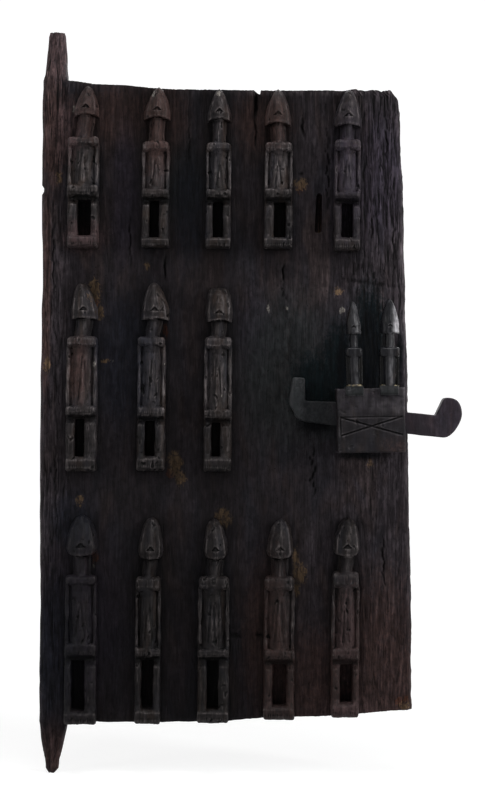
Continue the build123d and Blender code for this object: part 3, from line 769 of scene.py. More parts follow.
def shapeOutline(flat):
    # fits the grid to the hewn outline, and rounds the long edges
    left, right, low, high = plank["blank"]
    rise = np.clip((flat[:, 2] - low) / (high - low), 0, 1)
    share = np.clip((flat[:, 0] - left) / (right - left), 0, 1)
    level = low + rise * (high - low)
    nominal = along(plank["hingeSide"], level) * (1 - share) + along(plank["freeSide"], level) * share
    bottom, top = along(plank["bottom"], nominal), along(plank["top"], nominal)
    z = bottom + rise * (top - bottom)
    before, after = along(plank["hingeSide"], z), along(plank["freeSide"], z)
    wobble = 0.6 * roughness(np.column_stack([0 * z, 0 * z, z]), (1, 1, 9), 3)
    x = before + share * (after - before) + wobble * np.clip(2 * share - 1, 0, 1)
    half, radius = plank["thickness"] / 2, plank["edgeRound"]
    toEdge = np.minimum(x - before, after - x)
    inward = np.clip(radius - toEdge, 0, radius)
    lost = radius - np.sqrt(radius**2 - inward**2)
    return np.column_stack([x, flat[:, 1] * (half - lost) / half, z]), inward / radius


def legHollows(points):
    # 1 on the ground between the legs of a figure, and how much of the painted shade there is left out
    inside, light = np.zeros(len(points)), np.zeros(len(points))
    for name, row in figures.items():
        (x, gap), (top, sole) = row["gap"], row["heights"][5:7]
        across = 1 - smoothStep(np.abs(points[:, 0] - x), gap / 2 - 1, gap / 2 + 1.5)
        across *= (points[:, 2] > sole - 2) * (points[:, 2] < top + 4)
        inside = np.maximum(inside, across)
        light = np.maximum(light, across * plank["gapLight"].get(name, plank["otherGaps"]))
    return inside, light


def tornGrain(points, normals):
    x, z = points[:, 0], points[:, 2]
    share, across, up = torn["upperRight"]
    rough = torn["everywhere"] + share * smoothStep(x, *across) * smoothStep(z, *up)
    (right, across), (hinge, fading), (top, up) = torn["right"], torn["hinge"], torn["top"]
    rough += right * smoothStep(x, *across) + hinge * (1 - smoothStep(x, *fading))
    rough = np.clip(rough + top * smoothStep(z, *up), 0, torn["most"])
    return rough * (1 - torn["lessBehind"] * smoothStep(normals[:, 1], *plank["facing"]))


def sunkCracks(points):
    sunk = np.zeros(len(points))
    for seed, (start, end, wide, deep, wander) in enumerate(cracks):
        away, fade = nearLine(points, start, end, wander, seed)
        sunk = np.maximum(sunk, deep * fade * np.exp(-((away / (wide * 0.6)) ** 2)))
    return sunk


def ghostStub(points):
    # 1 inside the outline of the lost figure
    across = np.abs(points[:, 0] - ghost["x"]) / (ghost["width"] / 2)
    up = (points[:, 2] - ghost["base"]) / ghost["height"]
    return (1 - smoothStep(across - along(ghost["outline"], up), -0.1, 0.15)) * (up > 0) * (up < 1)


def levelBoltPath(points, carved):
    x, z = points[:, 0], points[:, 2]
    inside = np.minimum(
        np.minimum(x - boltPath["left"], boltPath["right"] - x),
        np.minimum(z - boltPath["bottom"], boltPath["top"] - z),
    )
    limit = -boltPath["level"] - 2 * smoothStep(-inside, 0, boltPath["margin"])
    carved[:, 1] = np.maximum(carved[:, 1], limit)


def cutSlot(board):
    # the blind slot, a little narrower at its top
    width, half = slot["width"], plank["thickness"] / 2
    bottom, top = slot["bottom"], slot["top"]
    cutter = block(slot["middle"], width, half - slot["depth"], half + 3, bottom, top, width * 0.42, 4)
    cut = readPoints(cutter)
    rise = (cut[:, 2] - bottom) / (top - bottom)
    cut[:, 0] += slot["narrowing"] * rise * (slot["middle"] + width / 2 - cut[:, 0]) / width
    writePoints(cutter, cut)
    modify(board, "slot", "BOOLEAN", operation="DIFFERENCE", object=cutter, solver="EXACT")
    bpy.data.objects.remove(cutter)
    # painted shade inside the slot
    points = readPoints(board)
    within = (np.abs(points[:, 0] - slot["middle"]) < width / 2 + 1) & (points[:, 2] > bottom - 1)
    within &= (points[:, 2] < top + 1) & (np.abs(points[:, 1]) < half - 1)
    paint(board, "dirtAndShade", np.maximum(readPaint(board, "dirtAndShade"), plank["slotShade"] * within))


def thinBack(board):
    # the plain back needs fewer faces
    back = 0.8 * plank["thickness"] / 2 * mm
    pick(board)
    bpy.ops.object.mode_set(mode="EDIT")
    bpy.ops.mesh.select_mode(type="FACE")
    selectFaces(lambda face: face.calc_center_median().y > back)
    bpy.ops.mesh.decimate(ratio=plank["backKept"])
    bpy.ops.object.mode_set(mode="OBJECT")


def buildPlank():
    board = sawnBoard()
    flat = readPoints(board)
    points, edge = shapeOutline(flat)
    _, _, low, high = plank["blank"]
    onUpper, onLower = flat[:, 2] > high + 0.01, flat[:, 2] < low - 0.01
    points[onUpper] = shapePost(flat, 1, pivots["upperReach"], pivots["upper"])[onUpper]
    points[onLower] = shapePost(flat, -1, pivots["lowerReach"], pivots["lower"])[onLower]
    edge[onUpper | onLower] = 0
    writePoints(board, points)
    print("plank shaped")

    # adze facets, furrows along the grain, cracks, leg gaps, and the stub of a lost figure
    normals = readNormals(board)
    front = smoothStep(-normals[:, 1], *plank["facing"])
    rough = tornGrain(points, normals)
    furrows = grainLines(points, across=2.6, tall=60, wander=0.5, seed=2, thickness=0.26)
    splits = grainLines(points, across=8.0, tall=70, wander=1.2, seed=11, thickness=0.11)
    depth = plank["adze"] * roughness(points, (24, 30, 50), 1, 2)
    depth += plank["fibre"] * rough * roughness(points, (2.2, 6, 40), 5, 2)
    depth -= plank["furrow"] * rough * (furrows + 1.1 * splits)
    sunk = sunkCracks(points)
    gaps, gapLight = legHollows(points)
    carved = points + normals * depth[:, None]
    carved[:, 1] += front * (sunk + gaps * plank["legHollow"])
    uneven = 0.7 + roughness(points, (4, 9, 9), 7, 2)
    carved[:, 1] -= front * ghostStub(points) * ghost["proud"] * uneven
    levelBoltPath(points, carved)
    for axis in (0, 2):
        carved[:, axis] = np.clip(carved[:, axis], cadLow[axis] / mm, cadHigh[axis] / mm)
    writePoints(board, carved)

    # dirt and painted shade in the furrows, cracks and gaps; wear on the ridges; wear and painted
    # highlights on the long edges and along the top; the upper post lighter
    bulge = convexity(board, carved, readNormals(board), 5)
    dirtAndShade = np.clip(0.4 * rough * np.maximum(furrows, splits), 0, 0.9)
    dirtAndShade = dirtAndShade + 0.7 * rough * smoothStep(-bulge, 0.02, 0.25)
    dirtAndShade = np.maximum.reduce([dirtAndShade, front * sunk / 1.6, 0.9 * front * (gaps - gapLight)])
    paint(board, "dirtAndShade", dirtAndShade)
    ridges = smoothStep(bulge, 0.04, 0.3) * (0.7 - 0.4 * smoothStep(points[:, 0], 250, 320))
    # a patchy painted highlight along the top edge
    rim = smoothStep(points[:, 2] - along(plank["top"], points[:, 0]), -5, -2)
    patchy = smoothStep(roughness(points, (7, 9, 3), 9, 2), -0.1, 0.3)
    rim = rim * smoothStep(points[:, 0], 120, 190) * patchy
    paint(board, "wearAndHighlight", 0.4 * edge + 0.35 * ridges * rough + 0.3 * onUpper + 0.6 * rim)
    paint(board, "coarse", rough)
    smokeAndShadeShare = smokedAndShaded(points) * (1 - gapLight)
    paint(board, "smokeAndShade", plank["backSmoke"] + front * (smokeAndShadeShare - plank["backSmoke"]))
    paintStainsAndShadows(board, points, front)

    cutSlot(board)
    thinBack(board)
    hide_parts("door_board")
    return finish(board, plankWood)


buildPlank()


# The figure that every carved figure is copied from. Heights above its soles.
pattern = {
    "width": 30.0,
    "proud": 20.0,
    "sunk": 3.0,
    "gap": 12.0,
    "levels": {"base": 0.0, "sole": 13.0, "legTop": 56.0, "hip": 68.0, "armpit": 118.0,
               "shoulder": 130.0, "chin": 148.0, "tip": 186.0},
    "trunk": 23.6,
    "neck": 13.5,
    # how far out each height stands, as a share of the full relief
    "profile": ((0, 0.82), (3.5, 0.98), (10, 1.0), (13, 0.90), (17, 0.80), (36, 0.88), (50, 0.78),
                (55.5, 0.58), (57.5, 0.64), (60.5, 0.90), (63, 1.0), (66.5, 1.0), (69.5, 0.93),
                (90, 0.95), (113, 0.86), (118, 0.93), (122, 1.0), (128, 0.98), (132, 0.88), (146, 0.90),
                (148, 1.0), (186, 1.0)),
    "voxel": 0.7,
    "facing": (6, 11),  # what stands this far out is the front
    "soleEdge": (10, 14),
    "legEdge": (55, 58),
    "uneven": 0.75,
    "fibre": 0.22,
    "check": 0.4,
    "chip": 3.4,
    "flute": 1.2,  # depth of the carved lines down the trunk
    "fluteWidth": 1.4,
    "tick": 0.55,  # depth of the short cuts along the foot and the hips
    "tickSpacing": 2.3,
    "noseHeight": 0.32,  # share of the head's height
    "noseDeep": 2.2,
    "noseDrop": 4.0,
    # depth of the head across its half width, and up its height
    "facets": ((0, 1.0), (0.16, 0.97), (0.70, 0.70), (0.76, 0.69), (0.88, 0.50), (1.0, 0.26)),
    "crownDepth": ((0, 0.88), (0.24, 1.0), (0.55, 0.93), (0.8, 0.76), (0.93, 0.56), (1, 0.36)),
}
# In each row: the head's outline, (share of its height, share of its half width), how far the jaw's
# corners rise, and the smoke and painted shade up the figure's height
rows = {
    "top": {
        "outline": ((0, 1.0), (0.22, 0.98), (0.5, 0.80), (0.75, 0.56), (0.92, 0.34), (1, 0.05)),
        "jaw": -2.0,
        "smokeAndShade": ((0, 0.46), (50, 0.46), (62, 0.7), (70, 0.14), (130, 0.08), (140, 0.26), (186, 0.3)),
    },
    "middle": {
        "outline": ((0, 1.0), (0.28, 0.99), (0.47, 0.84), (0.71, 0.64), (0.9, 0.42), (0.97, 0.25),
                    (1, 0.05)),
        "jaw": -1.2,
        "smokeAndShade": ((0, 0.52), (50, 0.48), (62, 0.52), (70, 0.1), (130, 0.1), (186, 0.4)),
    },
    "bottom": {
        "outline": ((0, 0.80), (0.07, 0.93), (0.16, 1.0), (0.44, 0.93), (0.77, 0.67), (0.92, 0.4),
                    (1, 0.05)),
        "jaw": 1.6,
        "smokeAndShade": ((0, 0.5), (14, 0.64), (56, 0.68), (70, 0.66), (130, 0.62), (186, 0.54)),
    },
}
# Figures that aren't quite like their row: their smoke and painted shade, a blunter crown, and where the
# chips begin
moreSmokeAndShade = {"top_1": 0.8, "top_5": 0.9, "middle_3": 1.1, "bottom_1": 1.13, "bottom_4": 0.88,
             "bottom_5": 0.78}
bluntCrown = {"middle_3": ((0, 0.92), (0.3, 1.0), (0.54, 0.95), (0.8, 0.82), (0.94, 0.68), (1, 0.5))}
chipsFrom = {"top_2": 0.46, "top_4": 0.45, "middle_2": 0.42, "bottom_3": 0.42}


def buildPattern():
    base, sole, legTop, hip, armpit, shoulder, chin, tip = pattern["levels"].values()
    width, proud, back = pattern["width"], pattern["proud"], -pattern["sunk"]
    leg = (width - pattern["gap"]) / 2
    # feet, hips, trunk and its ground, shoulders, neck and its ground, head; then the legs and arms
    parts = [
        block(0, width, back, proud, base, sole, 2.4, 4),
        block(0, width, back, proud, legTop - 0.5, hip, 3.0, 5),
        column(0, 5, pattern["trunk"], 2 * proud - 11, hip - 3, armpit + 3, 0.97, 40),
        block(0, width - 4, back, proud * 0.62, hip - 3, armpit + 3, 1.0),
        block(0, width - 1, back, proud, armpit, shoulder, 4.4, 6),
        column(0, 3, pattern["neck"], 2 * proud - 10, shoulder - 3, chin + 4, 0.95),
        block(0, width - 13, back, proud * 0.14, shoulder - 3, chin + 4, 1.0, 3),
        block(0, width, back, proud, chin, tip),
    ]
    for side in (-1, 1):
        parts.append(block(side * (width - leg) / 2, leg, back, proud, 8, legTop + 3, 4.0, 6))
        arm = side * (width / 2 - 1.9)
        parts.append(block(arm, 3.6, back, proud * 0.76, hip - 3, armpit + 3, 1.7, 4))
    figure = fused(joined("patternFigure", *parts), pattern["voxel"], 2)
    points = readPoints(figure)
    x, z = np.abs(points[:, 0]), points[:, 2]
    deep = np.where(points[:, 1] < 0, along(pattern["profile"], z), 1)
    inHead = z > chin - 0.6
    rise = np.clip((z - chin) / (tip - chin), 0, 1)
    face = along(pattern["facets"], x / (width / 2)) * along(pattern["crownDepth"], rise)
    points[:, 1] *= np.where(inHead & (points[:, 1] < 0), face, deep)
    front = smoothStep(-points[:, 1], *pattern["facing"])
    # nose: an undercut notch below the end of the ridge
    drop, lowest = chin + pattern["noseHeight"] * (tip - chin) - z, pattern["noseDrop"]
    notch = smoothStep(drop, -0.3, 0.6) * (1 - smoothStep(drop, lowest - 0.5, lowest + 0.4))
    notch *= 1 - smoothStep(x - 0.8 - 1.0 * np.clip(drop, 0, 4), -0.5, 0.6)
    rim = np.exp(-(((z - chin - 1.6) / 1.1) ** 2)) * (x < width / 2 - 1)
    points[:, 1] += front * (pattern["noseDeep"] * notch - 0.6 * rim)
    writePoints(figure, points)
    modify(figure, "ease", "SMOOTH", factor=0.35, iterations=1)
    return figure


def flutes(across, height):
    # two carved lines that spread downwards, and four upright ones, never quite alike
    middle, spread = random.uniform(-1.6, 1.6), random.uniform(2.6, 5.2)
    # from and to which height, where at its lower and upper end, and how strong
    lines = [
        (70, random.uniform(100, 114), middle + side * spread,
         middle + side * random.uniform(0.3, 1.6), 1.0)
        for side in (-1, 1)
    ]
    for side in (-1, -1, 1, 1):
        place = side * random.uniform(4.0, 9.4)
        low, high = random.uniform(70, 84), random.uniform(98, 117)
        lines.append((low, high, place, place + random.uniform(-0.8, 0.8), random.uniform(0.3, 0.9)))
    carved = np.zeros(len(across))
    for low, high, lowPlace, highPlace, strength in lines:
        away = across - np.interp(height, (low, high), (lowPlace, highPlace))
        ends = smoothStep(height, low, low + 5) * (1 - smoothStep(height, high - 5, high))
        carved = np.maximum(carved, strength * ends * np.exp(-((away / pattern["fluteWidth"]) ** 2)))
    return carved


def ticks(across, height):
    # rows of short upright cuts, some of them worn away
    spacing = pattern["tickSpacing"]
    nearCut = np.exp(-((((across / spacing) % 1 - 0.5) * spacing / 0.5) ** 2))
    places = np.column_stack([across, 0 * across, 0.3 * height])
    kept = roughness(places, (5, 5, 5), seed=random.uniform(0, 9), octaves=1) > -0.1
    bands = np.exp(-(((height - 4.2) / 2.0) ** 4)) + 0.8 * np.exp(-(((height - 62.5) / 1.8) ** 4))
    return nearCut * kept * bands


def highlightStreaks(across, height):
    # painted highlights, soft light streaks on the high places: face, neck, trunk and legs; (from, to,
    # place, strength)
    streaks = (
        (152, 182, random.uniform(0.5, 5.0), 0.55),
        (131, 147, random.uniform(-1.0, 3.0), 0.35),
        (72, 117, random.uniform(-5.0, 1.0), 0.35),
        (72, 117, random.uniform(2.0, 7.0), 0.45),
        (14, 54, 12.4, 0.4),
        (14, 54, -12.0, 0.25),
    )
    light = np.zeros(len(across))
    for low, high, place, strength in streaks:
        ends = smoothStep(height, low, low + 8) * (1 - smoothStep(height, high - 8, high))
        light = np.maximum(light, strength * ends * np.exp(-(((across - place) / 1.6) ** 2)))
    return light


def fitted(points, row, outline, jaw):
    # moves the pattern's points to the places and sizes of one figure
    (x, width), (headX, head, crownX), (gapX, gap) = row["body"], row["head"], row["gap"]
    moved, across, height = points.copy(), points[:, 0], points[:, 2]
    known = list(pattern["levels"].values())
    shoulder, chin, tip = known[-3:]
    moved[:, 2] = np.interp(height, known, row["heights"][::-1])
    moved[:, 2] += np.minimum(height, 0) + np.maximum(height - tip, 0)
    half, inner = pattern["width"] / 2, pattern["gap"] / 2
    side = across / half
    # body, with its leg gap moved into place
    place = width / 2 * side
    legs = np.interp(across, (-half, -inner, inner, half),
                     (-width / 2, gapX - x - gap / 2, gapX - x + gap / 2, width / 2))
    inLegs = smoothStep(height, *pattern["soleEdge"]) * (1 - smoothStep(height, *pattern["legEdge"]))
    place = place + (legs - place) * inLegs
    # neck and head
    rise = np.clip((height - chin) / (tip - chin), 0, 1)
    headPlace = headX - x + 1.06 * head / 2 * side * along(outline, rise) + (crownX - headX) * rise**1.5
    inHead = smoothStep(height, chin - 0.9, chin - 0.2)
    neck = smoothStep(height, shoulder, chin - 1)
    place = place + (headX - x) * neck * (1 - inHead)
    moved[:, 0] = x + place + (headPlace - place) * inHead
    moved[:, 2] += inHead * (1 - rise) * side**2 * jaw
    return moved, inHead


def carveFigure(name, row, seed):
    pick(patternFigure)
    bpy.ops.object.duplicate()
    figure = joined("figure_" + name, bpy.context.object)
    form = rows[name.split("_")[0]]
    plain = readPoints(figure)
    across, height = plain[:, 0], plain[:, 2]
    side = across / (pattern["width"] / 2)
    points, inHead = fitted(plain, row, bluntCrown.get(name, form["outline"]), form["jaw"])
    onFront = smoothStep(-points[:, 1], *pattern["facing"])
    carved, ticked = flutes(across, height) * onFront, ticks(across, height) * onFront
    face = -plank["thickness"] / 2
    points[:, 1] += pattern["flute"] * carved + pattern["tick"] * ticked + face
    writePoints(figure, points)

    # hand-cut unevenness, drying lines and chips
    normals = readNormals(figure)
    onBlock = 1 - 0.7 * (1 - smoothStep(height, *pattern["soleEdge"])) - 0.5 * inHead
    lumps = roughness(points, (4, 6, 9), seed + 13, 2)
    lines = grainLines(points, across=3.0, tall=30, wander=0.8, seed=seed + 20, thickness=0.16) * onBlock
    uneven = pattern["uneven"] * roughness(points, (11, 11, 16), seed, 2)
    uneven += pattern["fibre"] * roughness(points, (1.8, 3.5, 14), seed + 5, 2)
    chipped = np.clip(roughness(points, (5, 6, 7), seed + 9, 2) - chipsFrom.get(name, 0.5), 0, 0.5)
    points += normals * (uneven - pattern["chip"] * chipped - pattern["check"] * lines)[:, None]
    points[:, 1] = np.clip(points[:, 1], face - pattern["proud"], face + pattern["sunk"])
    writePoints(figure, points)

    # dirt and painted shade in the cuts and chips; painted shade between the arms and the trunk, under
    # the chin, and at the hips and feet
    bulge = convexity(figure, points, readNormals(figure))
    chin = pattern["levels"]["chin"]
    pocket = (1 - smoothStep(-points[:, 1], 17, 24)) * (np.abs(side) < 0.85)
    underChin = smoothStep(height, chin - 7, chin) * (1 - inHead)
    visor = np.exp(-(((height - 57.5) / 3.2) ** 2)) * (np.abs(side) < 0.9)
    feetAndChinShade = 0.35 * (1 - smoothStep(height, 5, 8)) + 0.5 * underChin
    paint(figure, "dirtAndShade", np.maximum.reduce([
        smoothStep(-bulge, 0.02, 0.4) + feetAndChinShade, 0.3 * pocket, 0.75 * visor,
        0.5 * carved, 0.4 * lines, 0.6 * ticked, np.clip(3 * chipped, 0, 0.6),
    ]))

    # wear on what stands out, and painted highlight streaks
    out = smoothStep(-points[:, 1], 15, 28)
    ridge = smoothStep(convexity(figure, points, readNormals(figure), 40), 0.1, 1.0)
    wearAndHighlight = (smoothStep(bulge, 0.08, 0.42) + 0.4 * ridge) * (0.3 + 0.7 * out)
    paint(figure, "wearAndHighlight", np.maximum(wearAndHighlight, highlightStreaks(across, height) * onFront * (0.6 + 1.4 * lumps)))
    paint(figure, "smokeAndShade", moreSmokeAndShade.get(name, 1) * along(form["smokeAndShade"], height))
    paintStainsAndShadows(figure, points, out)
    return finish(figure, carvedWood, angle=60)


patternFigure = buildPattern()
for seed, (name, row) in enumerate(figures.items()):
    carveFigure(name, row, seed)
bpy.data.objects.remove(patternFigure)


# Lock: the housing, bolt and wedges start from copies of the fixed solids

def copyOf(node, name):
    pick(frame["nodes"][node])
    bpy.ops.object.duplicate()
    piece = bpy.context.object
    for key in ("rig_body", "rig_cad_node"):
        del piece[key]
    piece.parent = None
    piece.name = piece.data.name = name
    bpy.ops.object.mode_set(mode="EDIT")
    bpy.ops.mesh.select_all(action="SELECT")
    bpy.ops.mesh.remove_doubles(threshold=0.01 * mm)
    bpy.ops.object.mode_set(mode="OBJECT")
    return piece


housing = {
    "voxel": 0.6,
    "uneven": 0.5,
    "fibre": 0.14,
    "chip": 2.0,
    "middle": (315.07, 353.0),
    "turn": 1.5,  # degrees
    "facing": (52, 55),
    "plinthFace": -59.0,
    "channel": (337.5, 372.5),
    "channelFront": -36.5,
    "backFrom": -13.0,  # from here back the surface stays as it is
    # wells of the iron pins: their middles and roofs, half width, front and heights
    "wells": ((311.07, 380.84), (323.07, 379.36), (335.07, 377.89)),
    "wellHalf": 5.6,
    "wellFront": -29.5,
    "wellHeights": (362.0, 382.5),
    "pinMiddle": -23.4,
    "headWall": (3.4, 5.3),  # the wells' walls lie this far from the pins' axes
    "headRoom": 0.35,  # and are cut back this much, as the roofs are, to let the pins rise
    # scratched line and cross, as seen from the block's middle
    "scratches": (((-30.2, 3.5), (30.2, 3.5), 0.6), ((-30.2, 3.5), (30.2, -14.5), 1.0),
                  ((30.2, 3.5), (-30.2, -14.5), 1.0), ((-30.4, 3.5), (-30.0, -15.5), 0.7)),
    "scratchWidth": 0.85,
    "scratchDepth": 1.0,
    "plinths": ((-16.1, 34.2), (17.9, 34.2)),
}


def insideHousing(points):
    # the channel, the wells and the back, where the surface keeps its place
    low, high = housing["channel"]
    inside = (points[:, 1] > housing["channelFront"]) & (points[:, 2] > low) & (points[:, 2] < high)
    inside |= points[:, 1] > housing["backFrom"]
    low, high = housing["wellHeights"]
    for x, _ in housing["wells"]:
        near = (np.abs(points[:, 0] - x) < housing["wellHalf"]) & (points[:, 1] > housing["wellFront"])
        inside |= near & (points[:, 2] > low) & (points[:, 2] < high)
    return inside


def scratchLines(across, rise):
    scratched = np.zeros(len(across))
    local = np.column_stack([across, 0 * across, rise])
    for seed, (start, end, strength) in enumerate(housing["scratches"]):
        away, _ = nearLine(local, start, end, 0.15, seed)
        scratched = np.maximum(scratched, strength * np.exp(-((away / housing["scratchWidth"]) ** 2)))
    return scratched


def easeWells(points, moved):
    least, most = housing["headWall"]
    for x, roof in housing["wells"]:
        away = points[:, :2] - (x, housing["pinMiddle"])
        reach = np.linalg.norm(away, axis=1)
        near = (reach < most) & (np.abs(points[:, 2] - roof + 5) < 6)
        wall = near & (reach > least)
        moved[wall, :2] += away[wall] / reach[wall, None] * housing["headRoom"]
        moved[near & (points[:, 2] > roof - 0.8), 2] += housing["headRoom"]


def buildHousing():
    piece = fused(copyOf("lock_housing", "lockHousing"), housing["voxel"], 1)
    points, normals = readPoints(piece), readNormals(piece)
    turn = math.radians(housing["turn"])
    right, up = points[:, 0] - housing["middle"][0], points[:, 2] - housing["middle"][1]
    across = right * math.cos(turn) + up * math.sin(turn)
    rise = up * math.cos(turn) - right * math.sin(turn)
    outer = np.where(insideHousing(points), 0.0, 1.0)
    onFront = smoothStep(-points[:, 1], *housing["facing"])
    depth = housing["uneven"] * roughness(points, (14, 14, 10), 21, 2)
    depth += housing["fibre"] * roughness(points, (30, 3, 2.2), 22, 2)
    chipped = np.clip(roughness(points, (6, 6, 5), 24, 2) - 0.42, 0, 0.5)
    scratched = scratchLines(across, rise) * onFront
    moved = points + normals * ((depth - housing["chip"] * chipped) * outer)[:, None]
    moved[:, 1] += scratched * housing["scratchDepth"]
    moved[:, 1] = np.maximum(moved[:, 1], housing["plinthFace"])
    easeWells(points, moved)
    writePoints(piece, moved)

    # painted light: the plinths are lighter on top, and the front is lighter towards its upper right
    plinth = np.zeros(len(points))
    for x, z in housing["plinths"]:
        near = (1 - smoothStep(np.abs(across - x), 8.6, 9.2)) * smoothStep(rise, z - 10.3, z - 9.5)
        plinth = np.maximum(plinth, near * smoothStep(-points[:, 1], 40, 41))
    wearAndHighlight = smoothStep(convexity(piece, moved, readNormals(piece)), 0.06, 0.35)
    upper, rightwards = smoothStep(rise, -2, 16), smoothStep(across, -6, 24)
    upperRightLight = onFront * (0.05 + upper * (0.14 + 0.26 * rightwards))
    upperRightLight = upperRightLight * (0.7 + roughness(points, (9, 9, 7), 26, 2))
    light = 0.9 * plinth * smoothStep(rise, 26, 31) * (0.6 + 1.4 * roughness(points, (5, 5, 3), 27, 2))
    paint(piece, "wearAndHighlight", np.maximum(0.55 * wearAndHighlight * outer + upperRightLight, light))
    # dirt and painted shade in the scratches; painted shade on the plinths' fronts below their tops
    paint(piece, "dirtAndShade", np.maximum(0.8 * scratched, 0.5 * plinth * (1 - wearAndHighlight) * (rise < 27)))
    paint(piece, "slate", plinth)
    paint(piece, "violet", 0.4 * upper * onFront)
    paint(piece, "russet", 0.5 * (1 - smoothStep(rise, -24, -8)) * rightwards * onFront)
    # more painted shade on the plinths below their tops
    paint(piece, "smokeAndShade", 0.3 * plinth * (1 - smoothStep(rise, 33, 36)))
    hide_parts("lock_housing")
    return finish(piece, lockWood)


bolt = {
    "voxel": 0.6,
    "smoothing": 3,
    "endSmoothing": 20,
    "leftEnd": (270, 262),  # the arms' rounding grows over these stretches
    "rightEnd": (358, 366),
    "uneven": 0.14,
    # the left hook's heel is fuller: middle, reach, and how far it stands out
    "heel": (((239.6, 355.6), 5.5, (-1.5, -1.7)), ((236.0, 366.0), 6.5, (-0.8, 0.0))),
    # worn outline of the two arms and their hooks; the bar between them stays as it is
    "outline": ((238.6, 394.2), (240, 394.8), (249, 394.7), (250.6, 393.5), (256, 386), (262, 380),
                (345, 380), (350, 361.4), (366, 360.0), (380.0, 358.5), (384, 366.5),
                (387.6, 374.2), (389.6, 375.8), (393.3, 376.0), (397.8, 375.2), (401.4, 373.5),
                (403.8, 370.6), (405.2, 367.2), (406.2, 362.6), (406.3, 358.6), (405.4, 354.2),
                (403.6, 350.2), (401.5, 346.2), (398.8, 342.3), (395.4, 339.0), (391.7, 336.9),
                (388.4, 336.3), (385.4, 336.5), (371.3, 337.8), (350, 340.0), (345, 330),
                (262, 330), (254, 348.6), (247.3, 351.3), (242.6, 353.6), (239.0, 356.4),
                (236.6, 359.6), (235.0, 363.2), (234.4, 367), (234.9, 373), (235.9, 378.4),
                (237.0, 384.5), (237.8, 390)),
}


def slab(outline, back, front):
    # an upright slab with this outline, seen from the front
    bpy.ops.mesh.primitive_cylinder_add(vertices=len(outline), radius=1, depth=1)
    piece = settle(bpy.context.object)
    points = readPoints(piece)
    points[0::2, 1], points[1::2, 1] = -back, -front
    points[0::2, [0, 2]] = points[1::2, [0, 2]] = outline
    writePoints(piece, points)
    bpy.ops.object.mode_set(mode="EDIT")
    bpy.ops.mesh.select_all(action="SELECT")
    bpy.ops.mesh.normals_make_consistent(inside=False)
    bpy.ops.object.mode_set(mode="OBJECT")
    return piece


def buildBolt():
    piece = copyOf("bolt", "slidingBolt")
    cutter = slab(bolt["outline"], 0, 50)
    modify(piece, "outline", "BOOLEAN", operation="INTERSECT", object=cutter, solver="EXACT")
    bpy.data.objects.remove(cutter)
    fused(piece, bolt["voxel"], bolt["smoothing"])
    x = readPoints(piece)[:, 0]
    ends = smoothStep(-x, *[-place for place in bolt["leftEnd"]]) + smoothStep(x, *bolt["rightEnd"])
    group = piece.vertex_groups.new(name="ends")
    for index, weight in enumerate(ends):
        if weight > 0:
            group.add([index], float(weight), "REPLACE")
    modify(piece, "rub", "SMOOTH", factor=0.5, iterations=bolt["endSmoothing"], vertex_group="ends")
    points, normals = readPoints(piece), readNormals(piece)
    depth = bolt["uneven"] * roughness(points, (16, 12, 12), 31, 2) * (0.3 + 1.7 * ends) - 0.06
    moved = points + normals * depth[:, None]
    for (x, z), reach, move in bolt["heel"]:
        near = np.exp(-(((points[:, 0] - x) ** 2 + (points[:, 2] - z) ** 2) / reach**2))
        moved[:, [0, 2]] += near[:, None] * np.array(move)
    writePoints(piece, moved)

    # speckles, and a painted highlight down the left hook's outer edge; painted shadow, slate-tinted,
    # along the arm beside it
    bulge = smoothStep(convexity(piece, moved, readNormals(piece), 10), 0.05, 0.3)
    hooks = smoothStep(np.abs(moved[:, 0] - 321), 66, 78)
    x, z = moved[:, 0], moved[:, 2]
    leftArm, hook = 1 - smoothStep(x, 268, 300), 1 - smoothStep(x, 244, 252)
    speckled = smoothStep(roughness(points, (2.0, 3, 2.4), 33, 2), 0.05, 0.35) * smoothStep(z, 378, 388)
    spine = 1 - smoothStep(x - 0.3 * np.abs(z - 372), 234, 238)
    speckAndHighlight = np.maximum(0.95 * speckled * hook, 0.85 * spine * smoothStep(-points[:, 1], 28, 32))
    paint(piece, "wearAndHighlight", np.maximum(bulge * (0.25 + 0.6 * hooks) + 0.08 * smoothStep(x, 350, 370), speckAndHighlight))
    paint(piece, "paintedShadow", (0.66 - 0.3 * hook) * leftArm * (1 - 0.9 * hooks * bulge) * (1 - speckAndHighlight))
    paint(piece, "slate", leftArm)
    paint(piece, "violet", 0.6 * smoothStep(x, 360, 380))
    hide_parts("bolt")
    return finish(piece, boltWood, body="bolt")


def buildWedge(node, name, seed):
    piece = fused(copyOf(node, name), 0.45, 3)
    points, normals = readPoints(piece), readNormals(piece)
    depth = 0.12 * roughness(points, (4, 4, 14), seed, 2) - 0.05
    writePoints(piece, points + normals * depth[:, None])
    paint(piece, "wearAndHighlight", 0.2 + 0.4 * smoothStep(convexity(piece, points, normals), 0.03, 0.2))
    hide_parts(node)
    return finish(piece, wedgeWood)


buildHousing()
buildBolt()
buildWedge("wedge_upper", "upperWedge", 41)
buildWedge("wedge_lower", "lowerWedge", 42)


